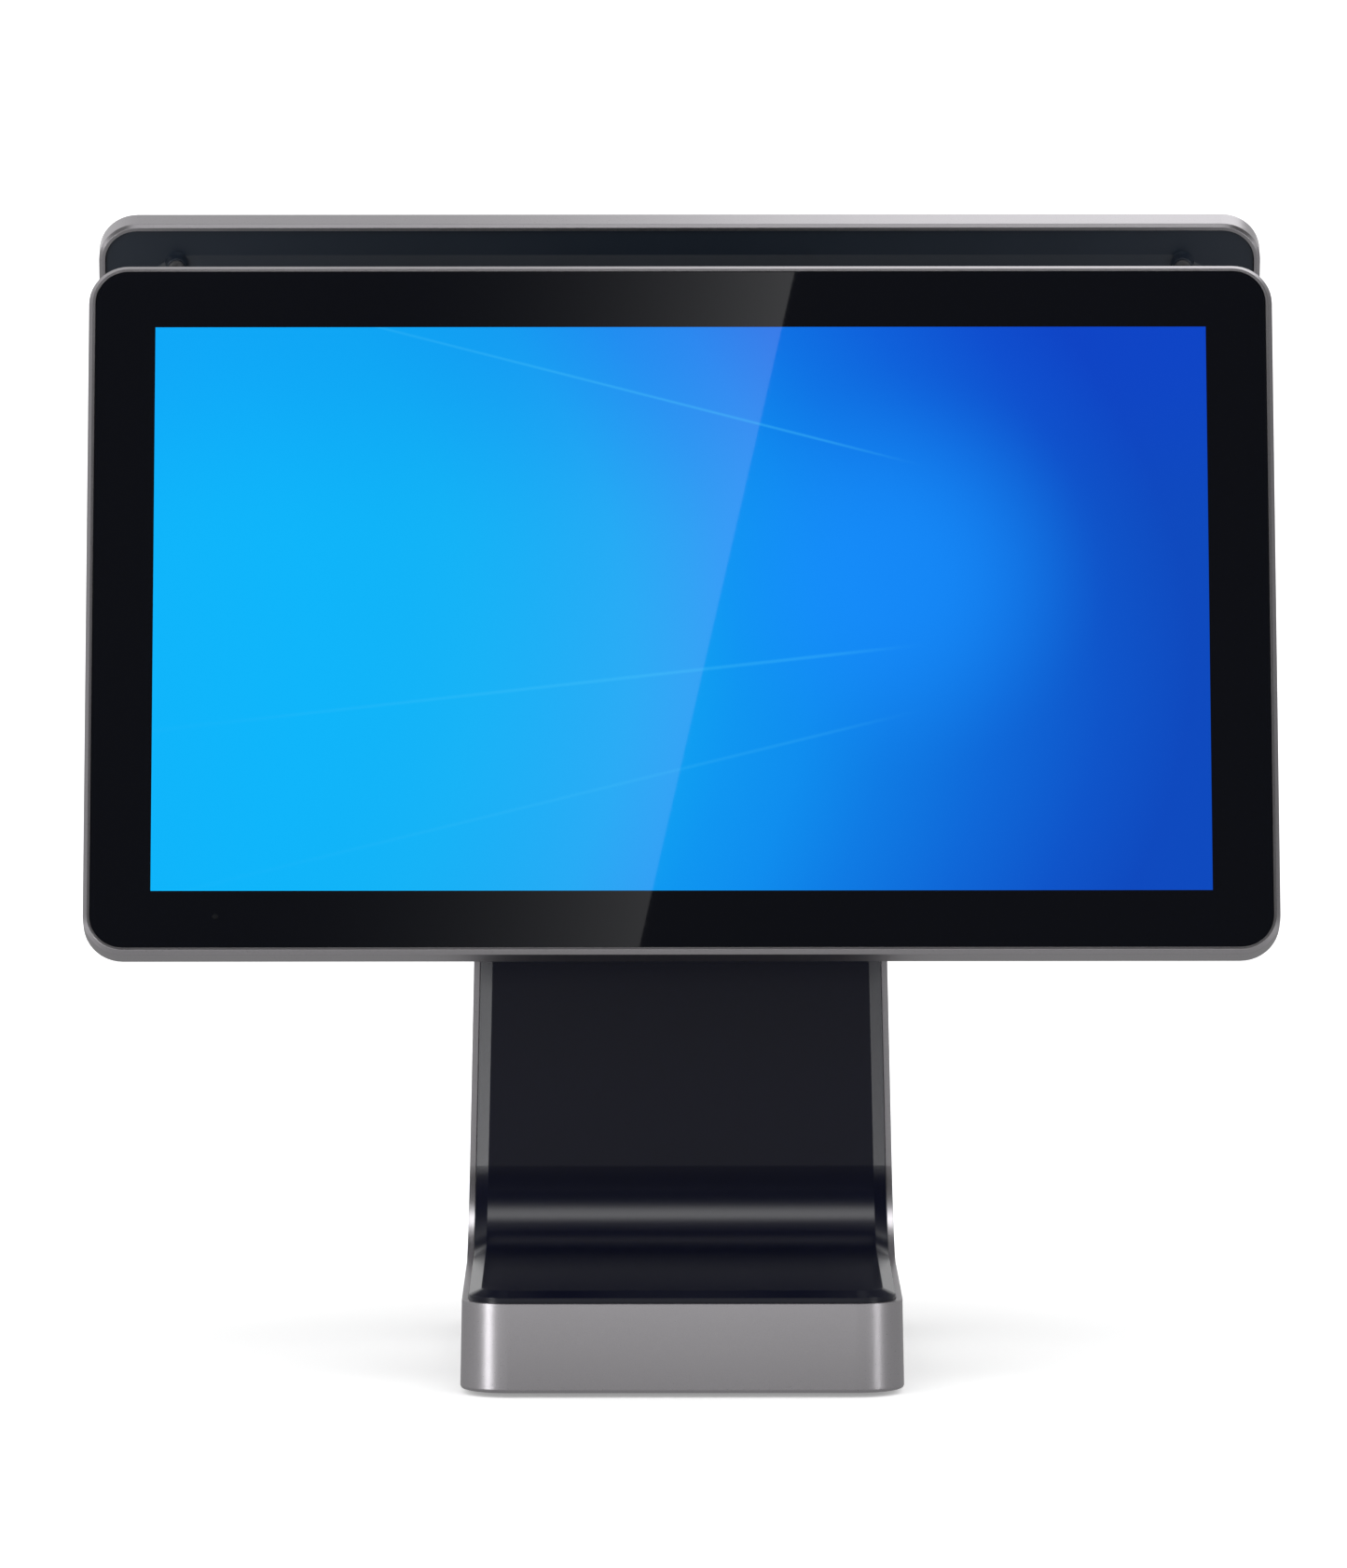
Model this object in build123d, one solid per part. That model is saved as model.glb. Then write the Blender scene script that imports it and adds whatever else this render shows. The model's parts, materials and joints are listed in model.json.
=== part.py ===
"""Two-screen point-of-sale terminal: a stand that carries an operator touchscreen and a customer display.

Millimetres, +Z up. The operator stands on the -Y side and the customer on the +Y side.
While the pieces are made, Y = 0 is the front face of the base and Z = 0 the counter. At the end everything
is shifted along Y, so that the origin lies under the middle of the whole terminal, at counter level.
"""
from build123d import *
import os
from math import cos, radians, sin, tan

# ---- stand -------------------------------------------------------------------------------------------------
BASE_WIDTH = 143.5        # across the base at the counter
BASE_DEPTH = 210.0        # front face to back face at the counter
BACK_NARROWING = 2.3      # the back of the base is this much narrower than its front
DRAFT = 1.15              # degrees, all upright walls lean in by this much
CORNER_RADIUS = 15.5      # upright corners of the base
COLUMN_TOP = 268.0
COLUMN_LEAN = 7.9         # degrees, front of the column, away from the operator
COVER_TOP = 34.0          # height of the black cover over the base
COLUMN_FOOT = 139.4       # where the column's front line would meet the top of the base
INNER_BEND = 29.0         # radius of the hollow bend between base and column
COVER_RISE = 3.6          # the black cover stands this far out of the aluminium
COVER_SEAT = 1.0          # and sits this deep in its recess
COVER_WALL = 2.2
COVER_LIP = 2.2           # aluminium edge left showing round the cover
BEVEL_RUN = 4.0
BEVEL_DROP = 1.9
FRAME_WALL = 2.6
FRAME_FLOOR = 1.5         # the aluminium stops this far above the counter
TOP_CORNER = 12.0
TOP_EDGE = 3.0
FIT = 0.15                # gap round a cover in its recess
SCREW_FLANGE = 8.0        # the frame's inner flange reaches this far in at the bottom
PLATE_INSET = 3.0
PLATE_THICK = 1.2

# ---- back of the stand -------------------------------------------------------------------------------------
BACK_COVER_HALF = 54.0
BACK_COVER_LOW = 44.0
BACK_COVER_HIGH = 261.0
BACK_COVER_THICK = 1.6
BACK_LEDGE = 4.0
WINDOW_HALF = 52.0        # opening for the sockets
WINDOW_LOW = 9.0
WINDOW_HIGH = 36.0
BRACKET_FACE = 206.4      # outer face of the steel socket plate
BRACKET_THICK = 1.0

# ---- heads -------------------------------------------------------------------------------------------------
HEAD_WIDTH = 388.0
HEAD_HEIGHT = 236.5
HEAD_RADIUS = 13.0
HEAD_THICK = 30.0         # glass to the flat middle of the back
RIM_PROUD = 0.3
RIM_DEPTH = 9.75
RIM_WALL = 2.1
RIM_FRONT_CHAMFER = 1.3
RIM_BACK_CHAMFER = 0.95
LEDGE_WIDE = 3.0
LEDGE_THICK = 1.2
GLASS_THICK = 3.2
GLASS_GAP = 0.2
PANEL_SIZE = (359.5, 223.8, 3.0)
PANEL_BACK = GLASS_THICK + PANEL_SIZE[2]
CHASSIS_SIZE = (350.0, 200.0, 1.0)
CHASSIS_BACK = PANEL_BACK + CHASSIS_SIZE[2]
CHASSIS_POST = 5.0        # radius of the four posts that the arm is screwed to
POST_THREAD = 8.0         # thread between the foot of such a post and the plate
BOARD_POSTS = [(-145, -22), (-145, 22), (-45, -22), (-45, 22)]
BOARD_POST_HEIGHT = 3.0
DRIVER_BOARD = (112.0, 56.0, 1.6)
DRIVER_BOARD_X = -95.0
# What stands on a driver board: width, height, rise, and place across and up the panel.
DRIVER_CHIPS = [
    (18, 18, 1.8, -90, 4),
    (9, 12, 1.4, -118, 12),
    (26, 5, 3.6, -66, -22),
    (20, 5, 3.6, -112, -22)]
DRIVER_CAPACITORS = [(x, 20) for x in (-70, -62, -54, -46)]
COVER_EDGE_DEPTH = 8.45   # outer surface of the rear cover at its edge
COVER_EDGE_THICK = 1.2
COVER_SCREWS = [(-168, -104), (168, -104), (-168, 104), (168, 104)]
COVER_SCREW = 1.5         # radius
COVER_SCREW_HEAD = 2.6
VENT_COUNT = 15           # slots on each side of the middle
VENT_PITCH = 5.4
VENT_SIZE = (2.2, 24.0)
VENT_START = 36.0
VENT_LEVEL = 83.0
HUMP_FOOT = (368.0, 216.0)
HUMP_TOP = (236.0, 132.0)
SHELL = 2.0
MAIN_TILT = 22.95         # degrees back from upright
MAIN_CENTRE = (88.0, 248.4)
CUSTOMER_TILT = 22.0
CUSTOMER_BACK_CENTRE = (266.0, 256.2)   # middle of the rim's back plane
STATUS_LAMP = (-151.1, -105.5)

# ---- hinges ------------------------------------------------------------------------------------------------
HINGE_REACH = 22.0        # hinge axis behind the flat of the rear cover
SHAFT_RADIUS = 4.0
SHAFT_HALF = 49.0
RUNNING_GAP = 0.05
SIDE_GAP = 0.3
EAR_INNER = 28.0
EAR_THICK = 4.0
EAR_RADIUS = 9.0
WASHER_THICK = 1.9
WASHER_RADIUS = 8.0
LUG_THICK = 6.0
NUT_THICK = 5.0
NUT_ACROSS = 13.0
ARM_PLATE = (100.0, 92.0, 3.0)
ARM_PITCH = 75.0          # square screw pattern
ARM_SCREW = 2.0           # radius
LUG_FOOT = 13.0
HINGE_COVER_HALF = 52.0
HINGE_COVER_FOOT = 19.0
HINGE_COVER_RADIUS = 14.0

# ---- inside the stand --------------------------------------------------------------------------------------
BOARD = (116.0, 170.9, 1.6)
BOARD_FRONT = 34.0
BOARD_LEVEL = 10.0
SPINE_FACE = 185.0
SPINE_THICK = 3.0
SPINE_HALF = 60.0
SPINE_LOW = 62.0
SPINE_HIGH = 256.0
RAIL_DEPTH = 6.0
BUTTON_PLACE = (165.0, 17.0)
BUTTON_RADIUS = 4.6
FOOT_RADIUS = 8.0
FOOT_PLACES = [(x, y) for x in (-50.0, 50.0) for y in (22.0, 186.0)]
SPINE_SCREWS = [(x, z) for x in (-56.0, 56.0) for z in (76.0, 150.0, 224.0)]
SPINE_HEAD = 3.6          # radius of their heads
PLATE_SCREWS = [(side, y) for side in (-1, 1) for y in (40.0, 110.0, 180.0)]
PLATE_SCREW = 1.4         # radius
BACK_SCREWS = [(x, z) for x in (-52.0, 52.0) for z in (50.0, 240.0)]
BACK_SCREW = 1.3          # radius
STANDOFFS = [(x, y) for x in (-52.0, 52.0) for y in (42.0, 112.0, 180.0)]
STANDOFF_SCREW = 1.6      # radius
CABLES = [-10.0, 10.0]
CABLE_SOCKET = (14.0, 6.0, 4.5)
EAR_WINDOW = EAR_INNER + EAR_THICK + 3.0   # half width of the windows for the hinge ears
# What stands on the computer board: left, right, front, back and height.
BOARD_PARTS = [
    (-14, 14, 66, 94, 1.6),        # processor
    (-36, 36, 118, 122.5, 4.0),    # memory socket
    (-57, -35, 56, 59.5, 3.0),     # drive socket
    (40, 52, 128, 136, 7.0),       # coil
    (40, 50, 60, 70, 5.0)]         # battery holder
BOARD_CAPACITORS = [(44, 168), (36, 168), (28, 168)]
SINK = (-33.0, 33.0, 50.0, 110.0)  # the heat sink's left, right, front and back
SINK_BASE = 3.0
SINK_HEIGHT = 12.0

# ---- sockets at the back: width, height and length, from the left ------------------------------------------
SOCKET_FACE = 207.6
SOCKETS = {
    "power_inlet": (9.0, 11.0, 14.5),
    "video_socket": (15.0, 6.2, 12.0),
    "usb_left": (13.2, 15.6, 17.5),
    "usb_right": (13.2, 15.6, 17.5),
    "network_socket": (16.0, 13.5, 17.0),
    "cash_drawer_socket": (13.2, 11.5, 15.0)}

LARGE = 400.0
nodes = {}


def keep(name, shape):
    """Files a sub-part under its node name."""
    nodes[name] = shape


def box(x0, x1, y0, y1, z0, z1):
    """A block between two corners."""
    return Pos((x0 + x1) / 2, (y0 + y1) / 2, (z0 + z1) / 2) * Box(x1 - x0, y1 - y0, z1 - z0)


def rod_x(radius, x0, x1, y, z):
    """A round bar along X."""
    return Pos((x0 + x1) / 2, y, z) * Rot(Y=90) * Cylinder(radius, abs(x1 - x0))


def rod_y(radius, y0, y1, x, z):
    """A round bar along Y."""
    return Pos(x, (y0 + y1) / 2, z) * Rot(X=90) * Cylinder(radius, abs(y1 - y0))


def rod_z(radius, z0, z1, x, y):
    """A round bar along Z."""
    return Pos(x, y, (z0 + z1) / 2) * Cylinder(radius, abs(z1 - z0))


# ---- the L form --------------------------------------------------------------------------------------------
def side_prism(skin, top=LARGE, rounded=0.0):
    """Everything behind the stand's front surface, set back by skin from the black cover's face."""
    lean = radians(COLUMN_LEAN)
    level = COVER_TOP - skin
    bend_y = COLUMN_FOOT + skin * (1 - sin(lean)) / cos(lean)
    top_y = bend_y + (top - level) * tan(lean)
    outline = make_face(Polyline(
        (-LARGE, -LARGE), (-LARGE, level), (bend_y, level), (top_y, top), (LARGE, top), (LARGE, -LARGE),
        close=True))
    corner = outline.vertices().sort_by_distance((bend_y, level, 0))[0]
    outline = fillet(corner, INNER_BEND + skin)
    if rounded:
        edge = outline.vertices().sort_by_distance((top_y, top, 0))[0]
        outline = fillet(edge, rounded)
    return extrude(Plane.YZ * outline, LARGE, both=True)


def upright_form(inset, floor, top):
    """The stand's plan, drafted upwards: a rounded trapezoid, inset on all sides."""
    front_half = BASE_WIDTH / 2 - inset
    back_half = (BASE_WIDTH - BACK_NARROWING) / 2 - inset
    plan = make_face(Polyline(
        (-front_half, inset), (front_half, inset),
        (back_half, BASE_DEPTH - inset), (-back_half, BASE_DEPTH - inset),
        close=True))
    plan = fillet(plan.vertices(), CORNER_RADIUS - inset)
    form = extrude(plan, top, taper=DRAFT)
    return form & box(-LARGE, LARGE, -LARGE, LARGE, floor, top)


def top_corner_form(inset, top):
    """Rounds the two upper corners of the column, seen from the front."""
    half = BASE_WIDTH / 2 - (COLUMN_TOP - TOP_CORNER) * tan(radians(DRAFT)) - inset
    low = extrude(Plane.XZ * Pos(0, top / 2 - TOP_CORNER) * Rectangle(LARGE, top), LARGE, both=True)
    cap_height = 2 * TOP_CORNER
    cap = RectangleRounded(2 * half, 2 * cap_height, TOP_CORNER)
    high = extrude(Plane.XZ * Pos(0, top - cap_height) * cap, LARGE, both=True)
    return low + high


def stand_form(skin, inset, floor):
    """The stand as a solid, its front surface set back by skin and all its outlines inset."""
    top = COLUMN_TOP - inset
    form = upright_form(inset, floor, top) & side_prism(skin, top, TOP_EDGE)
    return form & top_corner_form(inset, top)


def back_face(level):
    """Y of the stand's outer back face at a height."""
    return BASE_DEPTH - level * tan(radians(DRAFT))


def side_face(depth, level):
    """X of the stand's outer right face."""
    return BASE_WIDTH / 2 - BACK_NARROWING / 2 * depth / BASE_DEPTH - level * tan(radians(DRAFT))


# ---- placing the heads -------------------------------------------------------------------------------------
def main_place():
    """From a head's own frame (X right, Y up the panel, Z out of the glass) to the operator's side."""
    return Pos(0, MAIN_CENTRE[0], MAIN_CENTRE[1]) * Rot(X=90 - MAIN_TILT)


def customer_place():
    """The same, facing the customer."""
    rim_back = RIM_DEPTH - RIM_PROUD
    tilt = radians(CUSTOMER_TILT)
    front_y = CUSTOMER_BACK_CENTRE[0] + rim_back * cos(tilt)
    front_z = CUSTOMER_BACK_CENTRE[1] + rim_back * sin(tilt)
    return Pos(0, front_y, front_z) * Rot(X=CUSTOMER_TILT) * Rot(Z=180) * Rot(X=90)


def hinge_axis(place):
    """Y and Z of a head's hinge axis."""
    point = (place * Pos(0, 0, -(HEAD_THICK + HINGE_REACH))).position
    return point.Y, point.Z


def slab(width, height, near, far, radius=0.0, x=0.0, y=0.0):
    """A plate of a head, between two depths behind the glass."""
    face = RectangleRounded(width, height, radius) if radius else Rectangle(width, height)
    return Pos(x, y, -far) * extrude(face, far - near)


def post(radius, near, far, x, y):
    """A round post of a head, between two depths behind the glass."""
    return Pos(x, y, -(near + far) / 2) * Cylinder(radius, far - near)


# ---- pieces of a head --------------------------------------------------------------------------------------
def head_rim():
    """Aluminium rim: a ring with a glass pocket in front, a ledge, and a pocket for the rear cover."""
    back = RIM_DEPTH - RIM_PROUD
    ring = slab(HEAD_WIDTH, HEAD_HEIGHT, -RIM_PROUD, back, HEAD_RADIUS)
    ring = chamfer(ring.faces().sort_by(Axis.Z)[-1].edges(), RIM_FRONT_CHAMFER)
    ring = chamfer(ring.faces().sort_by(Axis.Z)[0].edges(), RIM_BACK_CHAMFER)
    inner = (HEAD_WIDTH - 2 * RIM_WALL, HEAD_HEIGHT - 2 * RIM_WALL)
    radius = HEAD_RADIUS - RIM_WALL
    opening = (inner[0] - 2 * LEDGE_WIDE, inner[1] - 2 * LEDGE_WIDE)
    ring -= slab(*inner, -RIM_PROUD - 1, GLASS_THICK, radius)
    ring -= slab(*opening, GLASS_THICK - 1, back, radius - LEDGE_WIDE)
    ring -= slab(*inner, GLASS_THICK + LEDGE_THICK, back + 1, radius)
    return ring


def head_glass(with_lamp):
    """Cover glass, bonded to the panel. The operator's has a hole for the status lamp."""
    width = HEAD_WIDTH - 2 * (RIM_WALL + GLASS_GAP)
    height = HEAD_HEIGHT - 2 * (RIM_WALL + GLASS_GAP)
    glass = slab(width, height, 0, GLASS_THICK, HEAD_RADIUS - RIM_WALL - GLASS_GAP)
    if with_lamp:
        glass -= post(1.0, -1, GLASS_THICK + 1, *STATUS_LAMP)
    return glass


def head_panel():
    """The liquid-crystal module, with its backlight."""
    width, height, thick = PANEL_SIZE
    return slab(width, height, GLASS_THICK, GLASS_THICK + thick)


def head_chassis():
    """Steel plate behind the panel, with posts for the hinge arm and the driver board."""
    plate = slab(CHASSIS_SIZE[0], CHASSIS_SIZE[1], PANEL_BACK, CHASSIS_BACK, 6)
    half = ARM_PITCH / 2
    for x in (-half, half):
        for y in (-half, half):
            plate += post(CHASSIS_POST, CHASSIS_BACK, HEAD_THICK - SHELL, x, y)
            plate -= post(ARM_SCREW, CHASSIS_BACK + POST_THREAD, HEAD_THICK, x, y)
    for x, y in BOARD_POSTS:
        plate += post(2.5, CHASSIS_BACK, CHASSIS_BACK + BOARD_POST_HEIGHT, x, y)
    return plate


def head_board():
    """Driver board, with its chips, sockets and capacitors on it."""
    width, height, thick = DRIVER_BOARD
    level = CHASSIS_BACK + BOARD_POST_HEIGHT
    top = level + thick
    board = slab(width, height, level, top, x=DRIVER_BOARD_X)
    board += [slab(wide, high, top, top + rise, x=x, y=y) for wide, high, rise, x, y in DRIVER_CHIPS]
    board += [post(2.6, top, top + 6, x, y) for x, y in DRIVER_CAPACITORS]
    return board


def hump(foot, crown, near, far, radius):
    """A body that narrows from a large rounded rectangle to a small one."""
    low = Pos(0, 0, -near) * RectangleRounded(*foot, radius)
    high = Pos(0, 0, -far) * RectangleRounded(*crown, radius)
    return loft([low, high], ruled=True)


def head_rear_cover():
    """Rear shell: an edge flange in the rim's pocket and a raised middle with vents."""
    width = HEAD_WIDTH - 2 * (RIM_WALL + GLASS_GAP)
    height = HEAD_HEIGHT - 2 * (RIM_WALL + GLASS_GAP)
    radius = HEAD_RADIUS - RIM_WALL - GLASS_GAP
    flange = COVER_EDGE_DEPTH - COVER_EDGE_THICK
    seat = GLASS_THICK + LEDGE_THICK
    shell = slab(width, height, flange, COVER_EDGE_DEPTH, radius)
    shell += slab(width, height, seat, flange, radius) - slab(width - 4, height - 4, seat, flange, radius - 2)
    outside = hump(HUMP_FOOT, HUMP_TOP, COVER_EDGE_DEPTH - 0.6, HEAD_THICK, 20)
    outside = fillet(outside.faces().sort_by(Axis.Z)[0].edges(), 5)
    shell += outside
    inner_foot = (HUMP_FOOT[0] - 3 * SHELL, HUMP_FOOT[1] - 3 * SHELL)
    inner_top = (HUMP_TOP[0] - 3 * SHELL, HUMP_TOP[1] - 3 * SHELL)
    shell -= hump(inner_foot, inner_top, flange - 0.01, HEAD_THICK - SHELL, 18)
    half = ARM_PITCH / 2
    for x in (-half, half):
        for y in (-half, half):
            shell -= post(ARM_SCREW + 0.2, 0, HEAD_THICK + 1, x, y)
    for x, y in COVER_SCREWS:
        shell -= post(COVER_SCREW, 0, HEAD_THICK, x, y)
    vents = []
    for side in (-1, 1):
        for i in range(VENT_COUNT):
            x = side * (VENT_START + VENT_PITCH * i)
            vents.append(slab(*VENT_SIZE, 0, HEAD_THICK + 1, VENT_SIZE[0] / 2 - 0.1, x, VENT_LEVEL))
    return shell - vents


def head_cover_screws():
    """Four screws that hold the rear shell."""
    screws = []
    for x, y in COVER_SCREWS:
        seat = COVER_EDGE_DEPTH + slope_rise(x, y)
        head = post(COVER_SCREW_HEAD, seat, seat + 1.0, x, y)
        screws.append(head + post(COVER_SCREW, PANEL_BACK + 0.2, seat, x, y))
    return screws


def slope_rise(x, y):
    """How far the rear cover has risen at a point of its slope, at most."""
    run_x = (HUMP_FOOT[0] - HUMP_TOP[0]) / 2
    run_y = (HUMP_FOOT[1] - HUMP_TOP[1]) / 2
    rise = HEAD_THICK - COVER_EDGE_DEPTH
    share_x = (HUMP_FOOT[0] / 2 - abs(x) + COVER_SCREW_HEAD) / run_x
    share_y = (HUMP_FOOT[1] / 2 - abs(y) + COVER_SCREW_HEAD) / run_y
    return max(0.0, min(share_x, share_y)) * rise + 0.4


def lug_outline(foot, radius, near):
    """Side view of a hinge lug: a straight foot that runs tangent into a round eye on the hinge axis."""
    eye = HEAD_THICK + HINGE_REACH
    block = make_face(Polyline((-foot, -near), (foot, -near), (radius, -eye), (-radius, -eye), close=True))
    return block + Pos(0, -eye) * Circle(radius)


def across_x(face, x0, x1):
    """Extrudes a head's side view (up the panel, out of the glass) between two X positions."""
    return Pos(x0, 0, 0) * extrude(Plane.YZ * face, x1 - x0)


def head_hinge_arm():
    """Cast plate on the rear cover, with two lugs that turn on the hinge shaft."""
    width, height, thick = ARM_PLATE
    far = HEAD_THICK + thick
    eye = HEAD_THICK + HINGE_REACH
    arm = slab(width, height, HEAD_THICK, far, 8)
    inner = EAR_INNER + EAR_THICK + WASHER_THICK + SIDE_GAP
    for x0 in (inner, -inner - LUG_THICK):
        arm += across_x(lug_outline(LUG_FOOT, EAR_RADIUS, far), x0, x0 + LUG_THICK)
    arm -= Pos(0, 0, -eye) * Rot(Y=90) * Cylinder(SHAFT_RADIUS + RUNNING_GAP, 3 * SHAFT_HALF)
    half = ARM_PITCH / 2
    for x in (-half, half):
        for y in (-half, half):
            arm -= post(ARM_SCREW, HEAD_THICK - 1, far + 1, x, y)
    return arm


def head_arm_screws():
    """Four pan-head screws in a square, through the arm and the shell into the chassis posts."""
    far = HEAD_THICK + ARM_PLATE[2]
    half = ARM_PITCH / 2
    screws = []
    for x in (-half, half):
        for y in (-half, half):
            screw = post(3.8, far, far + 2.2, x, y) + post(ARM_SCREW, HEAD_THICK - SHELL - 8, far, x, y)
            screws.append(screw - post(1.5, far + 1.0, far + 3.0, x, y))
    return screws


def head_hinge_cover():
    """Plastic hood over the lugs, open in the middle towards the column, where the ears pass."""
    far = HEAD_THICK + ARM_PLATE[2]
    wall = 2.0
    hood = lug_outline(HINGE_COVER_FOOT, HINGE_COVER_RADIUS, far)
    outside = across_x(hood, -HINGE_COVER_HALF, HINGE_COVER_HALF)
    hollow = lug_outline(HINGE_COVER_FOOT - wall, HINGE_COVER_RADIUS - wall, far)
    inside = across_x(hollow, -HINGE_COVER_HALF + wall, HINGE_COVER_HALF - wall)
    window = EAR_INNER + EAR_THICK + WASHER_THICK
    gap = slab(2 * window, 60, far + 6, far + 60)
    return outside - inside - gap


def status_lens():
    """Light pipe of the status lamp, flush with the glass."""
    return post(0.9, 0, GLASS_THICK, *STATUS_LAMP)


def make_head(name, place, with_lamp):
    """Files all pieces of one head."""
    keep(f"{name}_rim", place * head_rim())
    keep(f"{name}_glass", place * head_glass(with_lamp))
    keep(f"{name}_display_panel", place * head_panel())
    keep(f"{name}_chassis_plate", place * head_chassis())
    keep(f"{name}_driver_board", place * head_board())
    keep(f"{name}_rear_cover", place * head_rear_cover())
    keep(f"{name}_cover_screws", [place * s for s in head_cover_screws()])
    keep(f"{name}_hinge_arm", place * head_hinge_arm())
    keep(f"{name}_arm_screws", [place * s for s in head_arm_screws()])
    keep(f"{name}_hinge_cover", place * head_hinge_cover())
    if with_lamp:
        keep(f"{name}_status_lens", place * status_lens())


def make_hinge(name, axis):
    """Files the shaft, friction washers and nuts that stay with the stand."""
    y, z = axis
    keep(f"{name}_hinge_shaft", rod_x(SHAFT_RADIUS, -SHAFT_HALF, SHAFT_HALF, y, z))
    ear_out = EAR_INNER + EAR_THICK
    outer = ear_out + WASHER_THICK + 2 * SIDE_GAP + LUG_THICK
    hole = rod_x(SHAFT_RADIUS, -SHAFT_HALF, SHAFT_HALF, y, z)
    washers = []
    for side in (-1, 1):
        washers.append(rod_x(WASHER_RADIUS, side * ear_out, side * (ear_out + WASHER_THICK), y, z) - hole)
        washers.append(rod_x(WASHER_RADIUS, side * outer, side * (outer + WASHER_THICK), y, z) - hole)
    keep(f"{name}_friction_washers", washers)
    nuts = []
    for side in (-1, 1):
        start = outer + WASHER_THICK
        hexagon = RegularPolygon(NUT_ACROSS / 2, 6, major_radius=False)
        nut = Rot(Y=90) * extrude(hexagon, NUT_THICK)
        x0 = start if side > 0 else -start - NUT_THICK
        nuts.append(Pos(x0, y, z) * nut - hole)
    keep(f"{name}_hinge_nuts", nuts)


# ---- pieces of the stand -----------------------------------------------------------------------------------
MAIN_AXIS = hinge_axis(main_place())
CUSTOMER_AXIS = hinge_axis(customer_place())


def plate_screw_x(y):
    """Half the distance between the two rows of bottom screws, at a depth."""
    return side_face(y, FRAME_FLOOR) - (PLATE_INSET + SCREW_FLANGE) / 2


def stand_frame():
    """Hollow aluminium L, open below, under the black cover, behind the column and at the sockets."""
    frame = stand_form(COVER_RISE, 0, FRAME_FLOOR)
    frame = fillet(frame.faces().sort_by(Axis.Z)[0].edges(), 1.2)
    cavity = stand_form(COVER_RISE + FRAME_WALL, FRAME_WALL, FRAME_FLOOR + FRAME_WALL)
    rail_front = SPINE_FACE + SPINE_THICK
    rail_back = rail_front + RAIL_DEPTH
    cavity -= [
        box(50, 75, rail_front, rail_back, SPINE_LOW, SPINE_HIGH - 8),
        box(-75, -50, rail_front, rail_back, SPINE_LOW, SPINE_HIGH - 8)]
    frame -= cavity
    frame -= stand_form(0, COVER_LIP - FIT, FRAME_FLOOR) - side_prism(COVER_RISE + COVER_SEAT)
    frame -= stand_form(0, COVER_LIP + 3.5, FRAME_FLOOR) - side_prism(COVER_RISE + FRAME_WALL + 0.5)
    frame -= upright_form(PLATE_INSET - FIT, 0, FRAME_FLOOR + PLATE_THICK)
    frame -= upright_form(SCREW_FLANGE, 0, FRAME_FLOOR + FRAME_WALL + 0.5)
    half = BACK_COVER_HALF + FIT
    seat_zone = box(-half, half, 150, LARGE, BACK_COVER_LOW - FIT, BACK_COVER_HIGH + FIT)
    frame -= seat_zone - upright_form(BACK_COVER_THICK, 0, COLUMN_TOP)
    inner = BACK_COVER_HALF - BACK_LEDGE
    behind = rail_back + 1.0
    y, z = BUTTON_PLACE
    cuts = [
        box(-inner, inner, behind, LARGE, BACK_COVER_LOW + BACK_LEDGE, BACK_COVER_HIGH - BACK_LEDGE),
        box(-WINDOW_HALF, WINDOW_HALF, behind, LARGE, WINDOW_LOW, WINDOW_HIGH),
        rod_x(BUTTON_RADIUS + 0.3, 60, 80, y, z)]
    cuts += [rod_y(ARM_SCREW, SPINE_FACE, SPINE_FACE + 9, x, z) for x, z in SPINE_SCREWS]
    cuts += [rod_z(PLATE_SCREW, 0, 5, side * plate_screw_x(y), y) for side, y in PLATE_SCREWS]
    cuts += [rod_y(BACK_SCREW, 190, LARGE, x, z) for x, z in BACK_SCREWS]
    return frame - cuts


def front_cover():
    """Black L-shaped cover with a bevelled border, and a window where the hinge ears come out."""
    cover = stand_form(0, COVER_LIP, FRAME_FLOOR)
    flats = cover.faces().filter_by(GeomType.PLANE)
    base_top = [f for f in flats if f.normal_at().Z > 0.999 and f.center().Z < COVER_TOP + 1][0]
    front_edge = base_top.edges().sort_by(Axis.Y)[0]
    cover = chamfer(front_edge, BEVEL_RUN, BEVEL_DROP, reference=base_top)
    cover -= side_prism(COVER_RISE + COVER_SEAT)
    cover -= stand_form(COVER_WALL, COVER_LIP + 2.5, FRAME_FLOOR)
    y, z = MAIN_AXIS
    return cover - box(-EAR_WINDOW, EAR_WINDOW, y + 10, y + 70, z - 15, z + 20)


def back_cover():
    """Plastic cover over the back of the column, with a window for the rear hinge ears and a row of vents."""
    zone = box(-BACK_COVER_HALF, BACK_COVER_HALF, 150, LARGE, BACK_COVER_LOW, BACK_COVER_HIGH)
    sheet = upright_form(0, FRAME_FLOOR, COLUMN_TOP) - upright_form(BACK_COVER_THICK, 0, COLUMN_TOP + 1)
    sheet = sheet & zone
    z = CUSTOMER_AXIS[1]
    cuts = [box(-EAR_WINDOW, EAR_WINDOW, 150, LARGE, z - 18, z + 11)]
    cuts += [rod_y(BACK_SCREW, 150, LARGE, x, z) for x, z in BACK_SCREWS]
    cuts += [box(x - 1.1, x + 1.1, 150, LARGE, 186, 212) for x in range(-33, 34, 6)]
    return sheet - cuts


def back_cover_screws():
    """Four low-head screws along the edges of the back cover."""
    screws = []
    for x, z in BACK_SCREWS:
        face = back_face(z)
        head = rod_y(2.4, face + 0.2, face + 1.1, x, z)
        screws.append(head + rod_y(BACK_SCREW, face - 2.4, face + 0.2, x, z))
    return screws


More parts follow.
